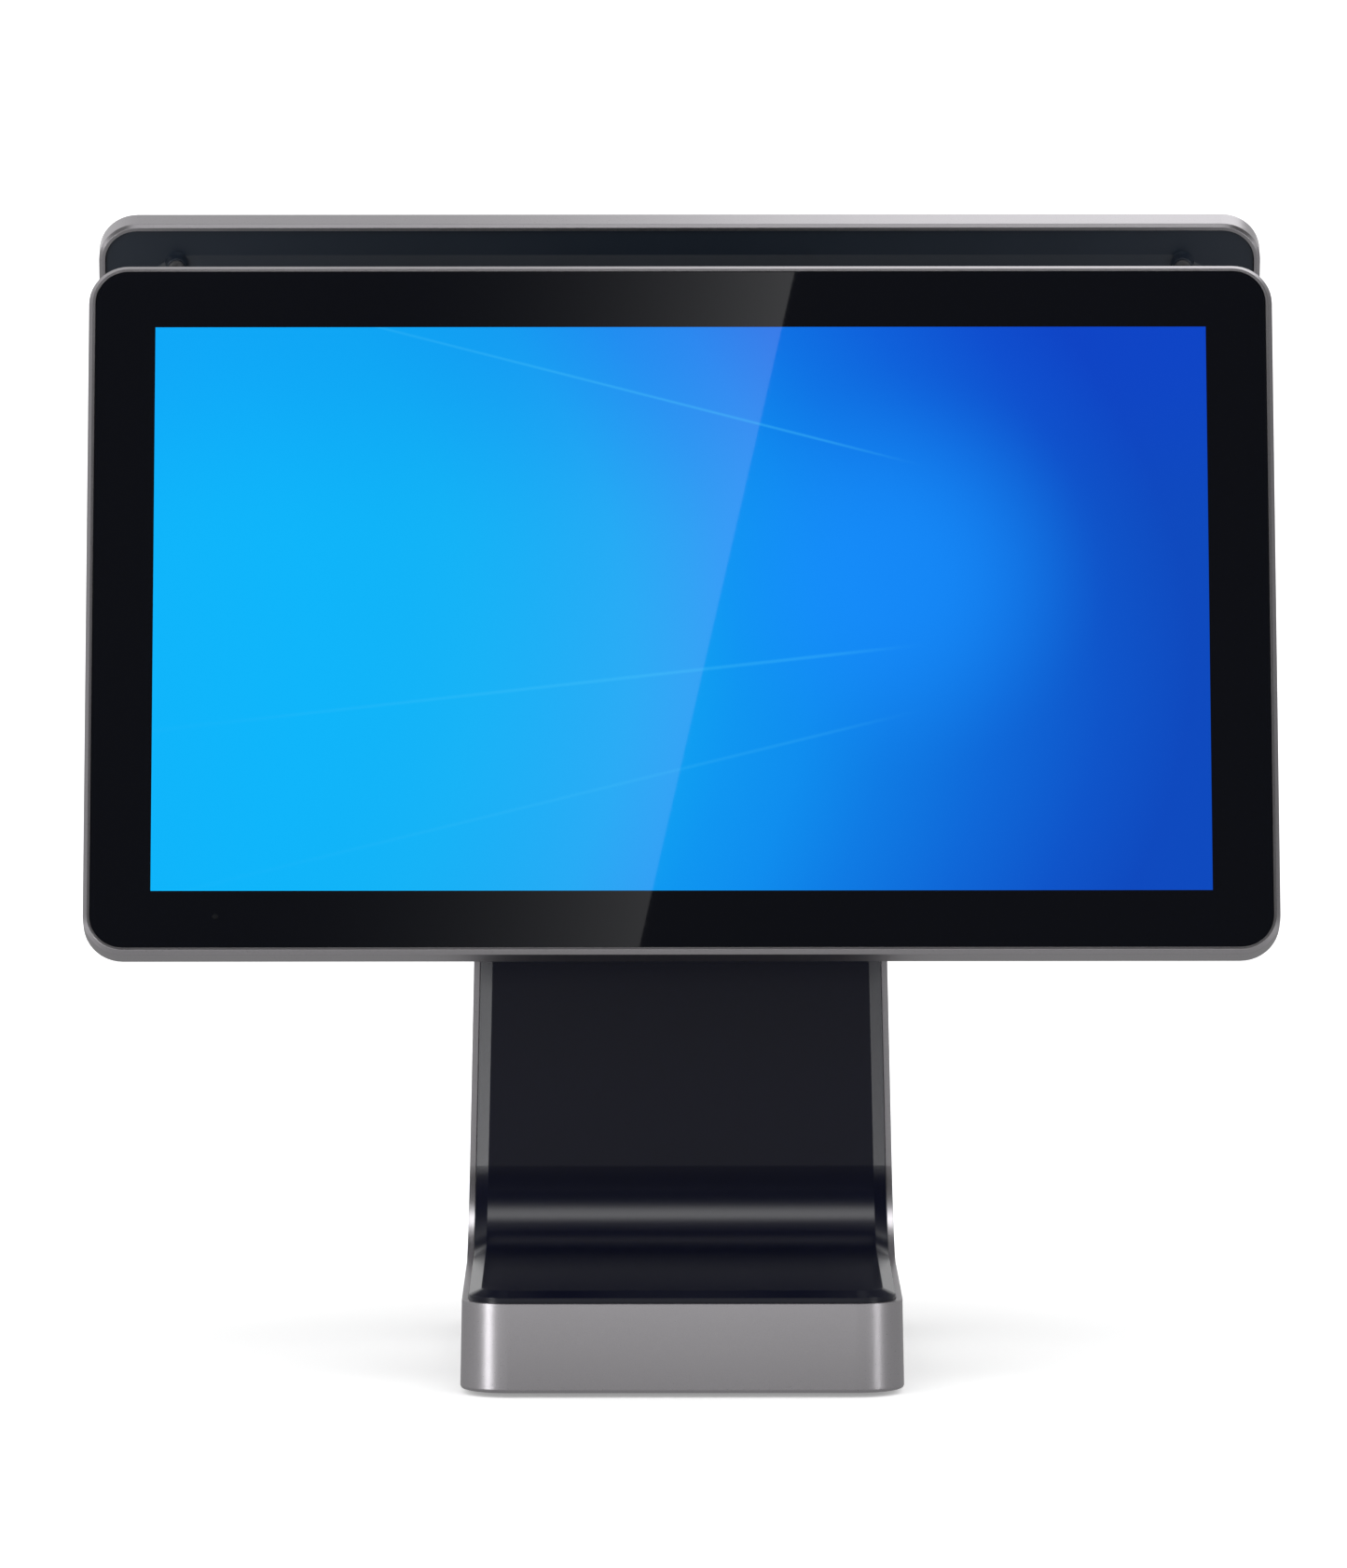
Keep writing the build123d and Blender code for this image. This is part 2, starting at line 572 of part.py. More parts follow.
def bottom_plate():
    """Steel plate that closes the base from below, with air slots."""
    plate = upright_form(PLATE_INSET, 0, FRAME_FLOOR + PLATE_THICK)
    plate &= box(-LARGE, LARGE, -LARGE, LARGE, FRAME_FLOOR, FRAME_FLOOR + PLATE_THICK)
    cuts = [rod_z(PLATE_SCREW, 0, 5, side * plate_screw_x(y), y) for side, y in PLATE_SCREWS]
    cuts += [rod_z(STANDOFF_SCREW, 0, 5, x, y) for x, y in STANDOFFS]
    cuts += [box(x - 1.2, x + 1.2, 60, 96, 0, 5) for x in range(-30, 31, 6)]
    return plate - cuts


def plate_screws():
    """Six screws that hold the bottom plate to the frame."""
    screws = []
    for side, y in PLATE_SCREWS:
        x = side * plate_screw_x(y)
        screws.append(rod_z(2.6, 0.6, FRAME_FLOOR, x, y) + rod_z(PLATE_SCREW, FRAME_FLOOR, 4.0, x, y))
    return screws


def rubber_feet():
    """Four round feet under the base."""
    return [rod_z(FOOT_RADIUS, 0, FRAME_FLOOR, x, y) for x, y in FOOT_PLACES]


def spine_bracket():
    """Steel bracket in the column: an upright plate and two ears that carry both hinge shafts."""
    plate = box(-SPINE_HALF, SPINE_HALF, SPINE_FACE, SPINE_FACE + SPINE_THICK, SPINE_LOW, SPINE_HIGH)
    main_y, main_z = MAIN_AXIS
    rear_y, rear_z = CUSTOMER_AXIS
    half = EAR_RADIUS
    bar = make_face(Polyline(
        (main_y, main_z - half), (rear_y, rear_z - half), (rear_y, rear_z + half), (main_y, main_z + half),
        close=True))
    outline = bar + Pos(main_y, main_z) * Circle(half) + Pos(rear_y, rear_z) * Circle(half)
    for x0 in (-EAR_INNER - EAR_THICK, EAR_INNER):
        plate += Pos(x0, 0, 0) * extrude(Plane.YZ * outline, EAR_THICK)
    cuts = [
        rod_x(SHAFT_RADIUS, -60, 60, main_y, main_z),
        rod_x(SHAFT_RADIUS, -60, 60, rear_y, rear_z)]
    cuts += [rod_y(ARM_SCREW, SPINE_FACE - 1, SPINE_FACE + 9, x, z) for x, z in SPINE_SCREWS]
    return plate - cuts


def spine_screws():
    """Six screws that hold the spine bracket to the rails of the frame."""
    screws = []
    for x, z in SPINE_SCREWS:
        head = rod_y(SPINE_HEAD, SPINE_FACE - 2.4, SPINE_FACE, x, z)
        screws.append(head + rod_y(ARM_SCREW, SPINE_FACE, SPINE_FACE + 8, x, z))
    return screws


def main_board():
    """Computer board on standoffs, with processor, sockets for memory and drive, and small parts."""
    width, depth, thick = BOARD
    top = BOARD_LEVEL + thick
    board = box(-width / 2, width / 2, BOARD_FRONT, BOARD_FRONT + depth, BOARD_LEVEL, top)
    board -= [rod_z(STANDOFF_SCREW, 5, 15, x, y) for x, y in STANDOFFS]
    board += [box(x0, x1, y0, y1, top, top + height) for x0, x1, y0, y1, height in BOARD_PARTS]
    board += [rod_z(3.2, top, top + 8, x, y) for x, y in BOARD_CAPACITORS]
    wide, deep, high = CABLE_SOCKET
    board += [box(x - wide / 2, x + wide / 2, 150, 150 + deep, top, top + high) for x in CABLES]
    return board


def board_standoffs():
    """Six threaded pillars between the bottom plate and the board, with their screws."""
    top = BOARD_LEVEL + BOARD[2]
    floor = FRAME_FLOOR + PLATE_THICK
    pillars = []
    for x, y in STANDOFFS:
        pillar = rod_z(3.0, floor, BOARD_LEVEL, x, y) + rod_z(STANDOFF_SCREW, BOARD_LEVEL, top, x, y)
        pillar += rod_z(2.8, top, top + 1.6, x, y) + rod_z(STANDOFF_SCREW, FRAME_FLOOR, floor, x, y)
        pillars.append(pillar)
    return pillars


def heat_sink():
    """Finned block on the processor: the terminal has no fan."""
    left, right, front, back = SINK
    level = BOARD_LEVEL + BOARD[2] + BOARD_PARTS[0][4]
    sink = box(*SINK, level, level + SINK_BASE)
    fins = [x for x in range(int(left) + 1, int(right), 8)]
    sink += [box(x - 0.8, x + 0.8, front, back, level + SINK_BASE, level + SINK_HEIGHT) for x in fins]
    return sink


def memory_module():
    """Memory card lying in its socket."""
    level = BOARD_LEVEL + BOARD[2] + 1.4
    card = box(-33.8, 33.8, 122.5, 148.5, level, level + 1.2)
    card += [box(x - 5, x + 5, 128, 142, level + 1.2, level + 2.2) for x in (-26, -14, 2)]
    return card


def solid_state_drive():
    """Narrow drive card in its socket, along the left edge of the board."""
    level = BOARD_LEVEL + BOARD[2] + 1.2
    card = box(-57, -35, 59.5, 105, level, level + 0.9)
    card += box(-54, -38, 64, 80, level + 0.9, level + 2.3)
    card += box(-54, -38, 84, 100, level + 0.9, level + 2.3)
    return card


def base_speaker():
    """Small closed loudspeaker box behind the front wall of the base."""
    floor = FRAME_FLOOR + PLATE_THICK
    speaker = box(-22, 22, 9, 29, floor, floor + 14)
    return speaker - rod_z(7, floor + 12.5, floor + 20, -10, 19) - rod_z(7, floor + 12.5, floor + 20, 10, 19)


def socket_sides(name):
    """Left, right, bottom and top of a socket. All are spread evenly over the window."""
    names = list(SOCKETS)
    gap = (2 * WINDOW_HALF - sum(size[0] for size in SOCKETS.values())) / (len(SOCKETS) + 1)
    left = -WINDOW_HALF + gap
    for other in names[:names.index(name)]:
        left += SOCKETS[other][0] + gap
    floor = BOARD_LEVEL + BOARD[2]
    return left, left + SOCKETS[name][0], floor, floor + SOCKETS[name][1]


def socket_block(name):
    """The closed body of a socket."""
    left, right, low, high = socket_sides(name)
    return box(left, right, SOCKET_FACE - SOCKETS[name][2], SOCKET_FACE, low, high)


def power_inlet():
    """Round inlet for the plug of the power brick, with its centre pin."""
    left, right, low, high = socket_sides("power_inlet")
    x = (left + right) / 2
    z = (low + high) / 2
    body = socket_block("power_inlet") - rod_y(3.15, SOCKET_FACE - 10, SOCKET_FACE + 1, x, z)
    return body + rod_y(1.0, SOCKET_FACE - 10, SOCKET_FACE - 1, x, z)


def video_socket():
    """Flat digital video socket with its tongue."""
    left, right, low, high = socket_sides("video_socket")
    body = socket_block("video_socket") - box(left + 0.5, right - 0.5, SOCKET_FACE - 8, SOCKET_FACE + 1,
                                              low + 0.8, high - 0.8)
    middle = (low + high) / 2
    return body + box(left + 2, right - 2, SOCKET_FACE - 8, SOCKET_FACE - 1.5, middle - 0.5, middle + 0.5)


def usb_stack(name):
    """Two data sockets, one over the other, each with its tongue."""
    left, right, low, high = socket_sides(name)
    stack = socket_block(name)
    for level in (low + 1.6, low + 8.9):
        stack -= box(left + 0.5, right - 0.5, SOCKET_FACE - 11, SOCKET_FACE + 1, level, level + 5.1)
        stack += box(left + 1.2, right - 1.2, SOCKET_FACE - 11, SOCKET_FACE - 1.0, level + 2.7, level + 4.4)
    return stack


def network_socket():
    """Eight-way jack with its latch notch."""
    left, right, low, high = socket_sides("network_socket")
    x = (left + right) / 2
    body = socket_block("network_socket")
    body -= box(x - 6.0, x + 6.0, SOCKET_FACE - 12, SOCKET_FACE + 1, low + 3.6, low + 11.6)
    return body - box(x - 2.6, x + 2.6, SOCKET_FACE - 8, SOCKET_FACE + 1, low + 1.2, low + 4)


def cash_drawer_socket():
    """Six-way jack that drives the cash drawer."""
    left, right, low, high = socket_sides("cash_drawer_socket")
    x = (left + right) / 2
    body = socket_block("cash_drawer_socket")
    body -= box(x - 5.0, x + 5.0, SOCKET_FACE - 11, SOCKET_FACE + 1, low + 3.0, low + 10.2)
    return body - box(x - 2.0, x + 2.0, SOCKET_FACE - 7, SOCKET_FACE + 1, low + 1.0, low + 4)


def socket_plate():
    """Steel plate round the sockets, behind the window of the frame."""
    plate = box(-55.5, 55.5, BRACKET_FACE - BRACKET_THICK, BRACKET_FACE, 5, 39.5)
    cuts = []
    for name in SOCKETS:
        left, right, low, high = socket_sides(name)
        cuts.append(box(left - 0.15, right + 0.15, 195, 210, low - 0.15, high + 0.15))
    return plate - cuts


def power_button():
    """Round push button in the right wall of the base, with a collar that keeps it in."""
    y, z = BUTTON_PLACE
    outer = side_face(y, z) + 0.4
    inner_wall = side_face(y, z) - FRAME_WALL
    button = rod_x(BUTTON_RADIUS, 60.0, outer, y, z)
    button = chamfer(button.edges().sort_by(Axis.X)[-1], 0.5)
    return button + rod_x(6.4, inner_wall - 1.7, inner_wall - 0.5, y, z)


def power_switch():
    """Push switch on the board, behind the button."""
    y, z = BUTTON_PLACE
    top = BOARD_LEVEL + BOARD[2]
    return box(51, 57.5, y - 5, y + 5, top, z + 5) + rod_x(2.0, 57.5, 59.0, y, z)


def display_cables():
    """Two display cables, from the board up the column to the breakout board beside the hinges."""
    cables = []
    for x in CABLES:
        top = BOARD_LEVEL + BOARD[2] + CABLE_SOCKET[2]
        route = FilletPolyline((x, 153, top), (x, 153, 40), (x, 178, 100), (x, 178, 204), radius=30)
        start = Plane((x, 153, top), x_dir=(1, 0, 0), z_dir=(0, 0, 1))
        cables.append(sweep(start * Circle(2.0), path=route))
    return cables


def breakout_board():
    """Small board high on the spine, where the display cables end in two sockets."""
    board = box(-24, 24, SPINE_FACE - 1.6, SPINE_FACE, 200, 216)
    board += [box(x - 7, x + 7, 174.5, SPINE_FACE - 1.6, 204, 211) for x in CABLES]
    return board


def make_stand():
    """Files the pieces of the stand."""
    keep("stand_frame", stand_frame())
    keep("stand_front_cover", front_cover())
    keep("column_back_cover", back_cover())
    keep("back_cover_screws", back_cover_screws())
    keep("bottom_plate", bottom_plate())
    keep("bottom_plate_screws", plate_screws())
    keep("rubber_feet", rubber_feet())
    keep("spine_bracket", spine_bracket())
    keep("spine_screws", spine_screws())
    keep("computer_board", main_board())
    keep("board_standoffs", board_standoffs())
    keep("heat_sink", heat_sink())
    keep("memory_module", memory_module())
    keep("solid_state_drive", solid_state_drive())
    keep("base_speaker", base_speaker())
    keep("socket_plate", socket_plate())
    keep("power_inlet", power_inlet())
    keep("video_socket", video_socket())
    keep("usb_sockets", [usb_stack("usb_left"), usb_stack("usb_right")])
    keep("network_socket", network_socket())
    keep("cash_drawer_socket", cash_drawer_socket())
    keep("power_button", power_button())
    keep("power_switch", power_switch())
    keep("display_cables", display_cables())
    keep("breakout_board", breakout_board())


def solids_of(shape):
    """The separate solids of a node, which is one shape or a list of identical ones."""
    shapes = shape if isinstance(shape, list) else [shape]
    return [solid for s in shapes for solid in s.solids()]


make_stand()
make_hinge("main", MAIN_AXIS)
make_hinge("customer", CUSTOMER_AXIS)
make_head("main", main_place(), True)
make_head("customer", customer_place(), False)

everything = Compound(children=[Compound(children=solids_of(shape)) for shape in nodes.values()])
extent = everything.bounding_box()
shift = Pos(0, -(extent.min.Y + extent.max.Y) / 2, -extent.min.Z)
os.makedirs("parts", exist_ok=True)
for name, shape in nodes.items():
    moved = [shift * solid for solid in solids_of(shape)]
    result = moved[0] if len(moved) == 1 else Compound(children=moved)
    export_step(result, f"parts/{name}.step")
shift_y = shift.position.Y
print("shift along Y", shift_y)
print("size", extent.size)
print("main hinge axis", MAIN_AXIS[0] + shift_y, MAIN_AXIS[1])
print("customer hinge axis", CUSTOMER_AXIS[0] + shift_y, CUSTOMER_AXIS[1])
for name in SOCKETS:
    print(name, "left, right, bottom, top", [round(value, 3) for value in socket_sides(name)])
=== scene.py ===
import json
from math import cos, pi, radians, sin, tau

import bmesh
import bpy
import numpy
from mathutils import Matrix, Vector


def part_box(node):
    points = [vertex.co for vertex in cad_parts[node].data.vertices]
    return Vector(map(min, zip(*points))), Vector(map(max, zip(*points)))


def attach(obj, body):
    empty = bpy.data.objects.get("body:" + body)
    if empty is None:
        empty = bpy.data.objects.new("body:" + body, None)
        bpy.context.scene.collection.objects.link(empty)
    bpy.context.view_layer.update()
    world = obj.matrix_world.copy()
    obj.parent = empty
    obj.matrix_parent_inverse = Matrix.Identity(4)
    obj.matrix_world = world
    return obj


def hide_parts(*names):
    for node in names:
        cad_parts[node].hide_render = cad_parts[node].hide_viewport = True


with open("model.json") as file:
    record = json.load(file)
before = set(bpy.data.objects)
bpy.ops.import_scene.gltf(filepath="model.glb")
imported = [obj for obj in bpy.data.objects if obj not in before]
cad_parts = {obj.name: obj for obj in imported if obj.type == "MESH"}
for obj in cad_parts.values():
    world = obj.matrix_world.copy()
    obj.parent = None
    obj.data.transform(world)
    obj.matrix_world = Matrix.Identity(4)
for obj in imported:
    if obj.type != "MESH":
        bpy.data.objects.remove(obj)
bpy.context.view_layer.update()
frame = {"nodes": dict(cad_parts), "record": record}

MM = 0.001

# ---- the view: a long lens on the operator's side, a little above the screens --------------------
FOOT_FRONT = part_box("stand_frame")[0].y           # the front face of the base
TURN_CENTRE = Vector((0.0, FOOT_FRONT + 0.1, 0.0))
CAMERA_PLACE = Vector((-0.0024876, FOOT_FRONT - 5.0, 0.64394))
CAMERA_DOWN = 5.0925                              # degrees below the horizon
CAMERA_ROLL = -0.0336
CAMERA_TURN = -0.15                               # degrees about the upright through TURN_CENTRE
LENS = 359.53
SENSOR = 36.0

# ---- light, as plain radiance --------------------------------------------------------------------
ROOM_ABOVE = 1.15          # what falls on the floor and on matt surfaces from straight above
ROOM_ROUND = 2.5           # and from the horizon
FLOOR_GLOW = 0.27          # the floor is lit a little from below
FRONT_GLOOM = 0.10         # what glossy surfaces mirror on the operator's side
BACK_GLOW = 0.75           # and behind and above the terminal
HORIZON_GLOW = 1.1         # a bright band low down on the operator's side
FLOOR_NEAR = 0.34          # what they mirror of the floor beside the terminal
FLOOR_FAR = 1.25           # and farther out on the operator's side
FLOOR_FADE = 0.9           # from the base to where the floor is mirrored at its farther brightness
LEFT_SHARE = 1.4           # the mirrored room is brighter on the operator's left
RIGHT_SHARE = 0.8          # than on the right
LAMP_WATTS = 4.0           # an area lamp's watts, per square metre and unit of radiance

LIGHTS_AIM = Vector((0, 0, 0.12))
HEADS_TOP = Vector((0, 0.06, 0.37))
CROWN = Vector((0, FOOT_FRONT + 0.27, 0.40))      # over the top edges of the heads
BEND = Vector((0, FOOT_FRONT + 0.132, 0.045))     # where the base turns up into the column
BEND_SPREAD = 70                                  # degrees
# Name, what it faces, azimuth and elevation in degrees, then distance, width, height and radiance.
SOFTBOXES = [
    ("left_softbox", LIGHTS_AIM, -47, 1, 2.2, 0.55, 0.5, 9.5),
    ("right_softbox", LIGHTS_AIM, 51, 1, 2.2, 0.34, 0.5, 6.0),
    ("back_softbox", HEADS_TOP, 149, 42, 0.9, 0.7, 0.5, 0.8),
    ("crown_softbox", CROWN, 0, 41, 0.35, 0.6, 0.12, 0.9),
    ("bend_strip", BEND, 0, 78, 0.085, 0.2, 0.024, 0.50),
]

# ---- the card whose slanted edge shows in the operator's screen ----------------------------------
EDGE_TOP = Vector((39.1, 118.0)) * MM             # where its edge is seen, from the middle of the screen
EDGE_FOOT = Vector((-13.1, -108.0)) * MM
CARD_DISTANCE = 1.6
CARD_WIDTH = 0.19
CARD_HEIGHT = 0.62
CARD_RADIANCE = 0.95
CARD_FADE = 2.9            # power by which it dims away from that edge
CARD_FOOT_SHARE = 0.4      # brightness of its foot against its top

# ---- the picture on both screens -----------------------------------------------------------------
PICTURE_WIDTH = 344.2 * MM
PICTURE_HEIGHT = 193.6 * MM
GLOW_PLACE = (0.20, 0.06)  # middle of the glow, in picture widths and heights from the middle
# Place along the sweep, with its green and blue.
PICTURE_BLUES = [
    (0.00, 0.456, 0.955), (0.15, 0.456, 0.950), (0.30, 0.440, 0.915), (0.45, 0.385, 0.890),
    (0.55, 0.300, 0.870), (0.62, 0.262, 0.850), (0.70, 0.195, 0.770), (0.80, 0.134, 0.680),
    (0.90, 0.085, 0.580), (0.98, 0.063, 0.510),
]
# Level where a ray passes the glow, slope, half width and strength.
PICTURE_RAYS = [(0.206, -0.48, 0.004, 0.26), (-0.133, 0.207, 0.005, 0.20), (-0.255, 0.456, 0.005, 0.11)]

# ---- sizes of the pieces made here ---------------------------------------------------------------
ROUND_SIDES = 36
DRIVE_SHARE = 0.44         # half width of the six-sided recess against the radius of its screw head
DRIVE_DEPTH = 1.2 * MM     # and its greatest depth
BOSS_HEIGHT = 4.4 * MM     # from inside the edge of a rear cover up to the head of its screw
WIRE_HALF = 0.22 * MM      # half the thickness of a jack's contact
WIRE_INSET = 1.6 * MM      # from the mouth of the jack to its contacts
WIRE_PITCH = 1.02 * MM
USB_LEVELS = (1.6 * MM, 8.9 * MM)                 # floors of the two openings in a block of data sockets
USB_PITCH = 2.4 * MM
TONGUE_EDGE = 0.25 * MM    # rounding of a moulded tongue
THIN_EDGE = 0.05 * MM      # and of contacts and liner walls


# ---- small helpers -------------------------------------------------------------------------------
class Shade:
    """A material with one Principled shader, and short ways to add nodes to it.

    The colour and roughness it starts with stand until a material sets others by nodes.
    """

    def __init__(self, name, colour, roughness, metallic=0.0, specular=0.5):
        self.material = bpy.data.materials.new(name)
        self.material.use_nodes = True
        self.tree = self.material.node_tree
        self.shader = self.tree.nodes["Principled BSDF"]
        self.set("Base Color", (*colour, 1.0))
        self.set("Roughness", roughness)
        self.set("Metallic", metallic)
        self.set("Specular IOR Level", specular)
        self.place = self.add("ShaderNodeTexCoord").outputs["Object"]

    def add(self, kind, inputs=None, **settings):
        node = self.tree.nodes.new(kind)
        for key, value in settings.items():
            setattr(node, key, value)
        for key, value in (inputs or {}).items():
            self.plug(value, node.inputs[key])
        return node

    def plug(self, value, socket):
        if isinstance(value, bpy.types.NodeSocket):
            self.tree.links.new(value, socket)
        else:
            socket.default_value = value

    def set(self, socket, value):
        self.plug(value, self.shader.inputs[socket])

    def math(self, operation, *values):
        return self.add("ShaderNodeMath", dict(enumerate(values)), operation=operation).outputs[0]

    def scaled(self, vector, factor):
        inputs = {0: vector, "Scale": factor}
        return self.add("ShaderNodeVectorMath", inputs, operation="SCALE").outputs[0]

    def step(self, value, low, high, start=0.0, end=1.0):
        """A smooth step from start to end while value goes from low to high."""
        inputs = {"Value": value, "From Min": low, "From Max": high, "To Min": start, "To Max": end}
        return self.add("ShaderNodeMapRange", inputs, interpolation_type="SMOOTHSTEP").outputs[0]

    def noise(self, scale, detail=2.0, roughness=0.5, stretch=(1, 1, 1)):
        stretched = self.add("ShaderNodeVectorMath", {0: self.place, 1: stretch}, operation="MULTIPLY")
        inputs = {"Vector": stretched.outputs[0], "Scale": scale, "Detail": detail, "Roughness": roughness}
        return self.add("ShaderNodeTexNoise", inputs).outputs[0]

    def cells(self, scale, feature="F1"):
        inputs = {"Vector": self.place, "Scale": scale}
        return self.add("ShaderNodeTexVoronoi", inputs, feature=feature).outputs["Distance"]

    def blend(self, share, first, second):
        node = self.add("ShaderNodeMix", data_type="RGBA", blend_type="MIX")
        for socket, value in ((0, share), (6, first), (7, second)):
            if isinstance(value, tuple) and len(value) == 3:
                value = (*value, 1.0)
            self.plug(value, node.inputs[socket])
        return node.outputs[2]

    def split(self, vector):
        return self.add("ShaderNodeSeparateXYZ", {0: vector}).outputs

    def bump(self, height, depth, strength, rounded=0.0):
        """Relief of that depth in metres, on edges rounded by that radius."""
        inputs = {"Height": height, "Distance": depth, "Strength": strength}
        node = self.add("ShaderNodeBump", inputs)
        if rounded:
            bevel = self.add("ShaderNodeBevel", {"Radius": rounded}, samples=4)
            self.plug(bevel.outputs[0], node.inputs["Normal"])
        self.set("Normal", node.outputs[0])


def panel_place(glass, side):
    """The frame of a screen: X to its viewer's right, Y up, Z out of the glass, origin on the glass."""
    mesh = frame["nodes"][glass].data
    faces = [face for face in mesh.polygons if face.normal.y * side > 0.5]
    out = max(faces, key=lambda face: face.area).normal.normalized()
    right = Vector((-side, 0.0, 0.0))
    up = out.cross(right)
    low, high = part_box(glass)
    middle = (low + high) / 2
    far = max(out.dot(vertex.co) for vertex in mesh.vertices)
    centre = middle + out * (far - out.dot(middle))
    turn = Matrix((right, up, out)).transposed().to_4x4()
    return Matrix.Translation(centre) @ turn


# ---- materials -----------------------------------------------------------------------------------
def anodised_aluminium():
    """Grey anodised aluminium with a fine blasted grain."""
    shade = Shade("space_grey_aluminium", (0.36, 0.35, 0.37), 0.4, 1.0)
    grain = shade.noise(2600, 3.0, 0.65)
    cloud = shade.noise(14, 3.0)
    tone = shade.math("ADD", shade.math("MULTIPLY", grain, 0.22), shade.math("MULTIPLY", cloud, 0.10))
    tone = shade.math("ADD", tone, 0.84)
    shade.set("Base Color", shade.scaled((0.46, 0.445, 0.465), tone))
    shade.set("Roughness", shade.step(grain, 0.25, 0.75, 0.27, 0.36))
    shade.bump(grain, 0.012 * MM, 0.6, rounded=0.25 * MM)
    return shade.material


def gloss_cover():
    """Blue-black gloss plastic with a barely visible ripple."""
    shade = Shade("black_gloss_cover", (0.0005, 0.001, 0.007), 0.24, specular=0.38)
    ripple = shade.noise(160, 2.0)
    grain = shade.noise(4200, 2.0, 0.6)
    shade.set("Roughness", shade.step(grain, 0.2, 0.8, 0.21, 0.27))
    tint = shade.blend(ripple, (0.0004, 0.0009, 0.0066), (0.0006, 0.0012, 0.0084))
    shade.set("Base Color", tint)
    height = shade.math("ADD", shade.math("MULTIPLY", grain, 0.35), ripple)
    shade.bump(height, 0.006 * MM, 0.5, rounded=0.3 * MM)
    return shade.material


def moulded_black():
    """Black moulding with a fine grain."""
    shade = Shade("black_plastic", (0.02, 0.022, 0.027), 0.42)
    grain = shade.noise(1500, 4.0, 0.7)
    cloud = shade.noise(30, 2.0)
    shade.set("Base Color", shade.blend(cloud, (0.0060, 0.0100, 0.0170), (0.0085, 0.0132, 0.022)))
    shade.set("Roughness", shade.step(grain, 0.2, 0.8, 0.30, 0.42))
    shade.bump(grain, 0.03 * MM, 0.7, rounded=0.3 * MM)
    return shade.material


def picture_colour(shade, right, up):
    """A calm blue picture: pale on the left, deep on the right, with a soft glow and three faint rays."""
    lift = shade.math("MULTIPLY", shade.math("POWER", up, 2.0), 0.35)
    sweep = shade.math("ADD", shade.math("ADD", right, lift), shade.math("MULTIPLY", up, 0.06))
    ramp = shade.add("ShaderNodeValToRGB", {0: shade.math("ADD", sweep, 0.5)})
    elements = ramp.color_ramp.elements
    elements[0].color = (0.0, *PICTURE_BLUES[0][1:], 1.0)
    elements[1].color = (0.0, *PICTURE_BLUES[-1][1:], 1.0)
    elements[1].position = PICTURE_BLUES[-1][0]
    for spot, green, blue in PICTURE_BLUES[1:-1]:
        elements.new(spot).color = (0.0, green, blue, 1.0)
    across = shade.math("SUBTRACT", right, GLOW_PLACE[0])
    above = shade.math("SUBTRACT", up, GLOW_PLACE[1])
    wide = shade.math("MULTIPLY", across, PICTURE_WIDTH / PICTURE_HEIGHT)
    squares = shade.math("ADD", shade.math("POWER", wide, 2.0), shade.math("POWER", above, 2.0))
    away = shade.math("SQRT", squares)
    dimmed = shade.blend(shade.step(up, 0.1, 0.5, 0.0, 0.15), ramp.outputs[0], (0.0, 0.0, 0.8))
    picture = shade.blend(shade.step(away, 0.38, 0.05, 0.0, 0.66), dimmed, (0.004, 0.27, 1.0))
    for start, slope, spread, strength in PICTURE_RAYS:
        level = shade.math("ADD", shade.math("MULTIPLY", across, slope), start)
        off = shade.math("ABSOLUTE", shade.math("SUBTRACT", above, level))
        beam = shade.math("MULTIPLY", shade.step(off, spread, 0.0), shade.step(right, 0.24, 0.12))
        beam = shade.math("MULTIPLY", beam, shade.step(right, -0.5, 0.0, 0.15, 1.0))
        picture = shade.blend(shade.math("MULTIPLY", beam, strength), picture, (0.06, 0.62, 1.0))
    return picture


def screen_glass(name, place):
    """Black-printed cover glass with the lit picture on its front face, and greenish edges painted lighter
    than their tint as a painted highlight along them.
    """
    shade = Shade(name, (0.0009, 0.0012, 0.0026), 0.01)
    inverse = place.inverted()
    inputs = {"Vector": shade.place, "Location": inverse.translation, "Rotation": inverse.to_euler()}
    local = shade.add("ShaderNodeMapping", inputs, vector_type="POINT").outputs[0]
    x, y, z = shade.split(local)[:3]
    right = shade.math("DIVIDE", x, PICTURE_WIDTH)
    up = shade.math("DIVIDE", y, PICTURE_HEIGHT)
    inside = shade.math("MULTIPLY", shade.math("LESS_THAN", shade.math("ABSOLUTE", right), 0.5),
                        shade.math("LESS_THAN", shade.math("ABSOLUTE", up), 0.5))
    front = shade.math("GREATER_THAN", z, -0.05 * MM)
    lit = shade.math("MULTIPLY", inside, front)
    shade.set("Emission Color", shade.blend(lit, (0.0, 0.0, 0.0), picture_colour(shade, right, up)))
    shade.set("Emission Strength", 1.0)
    dust = shade.noise(900, 3.0, 0.7)
    shade.set("Roughness", shade.step(dust, 0.3, 0.8, 0.006, 0.018))
    # The sides of the glass get a greenish tint, painted lighter than the face as a painted highlight along
    # the glass edge.
    edge = shade.math("LESS_THAN", z, -0.02 * MM)
    shade.set("Base Color", shade.blend(edge, (0.0009, 0.0012, 0.0026), (0.012, 0.02, 0.022)))
    return shade.material


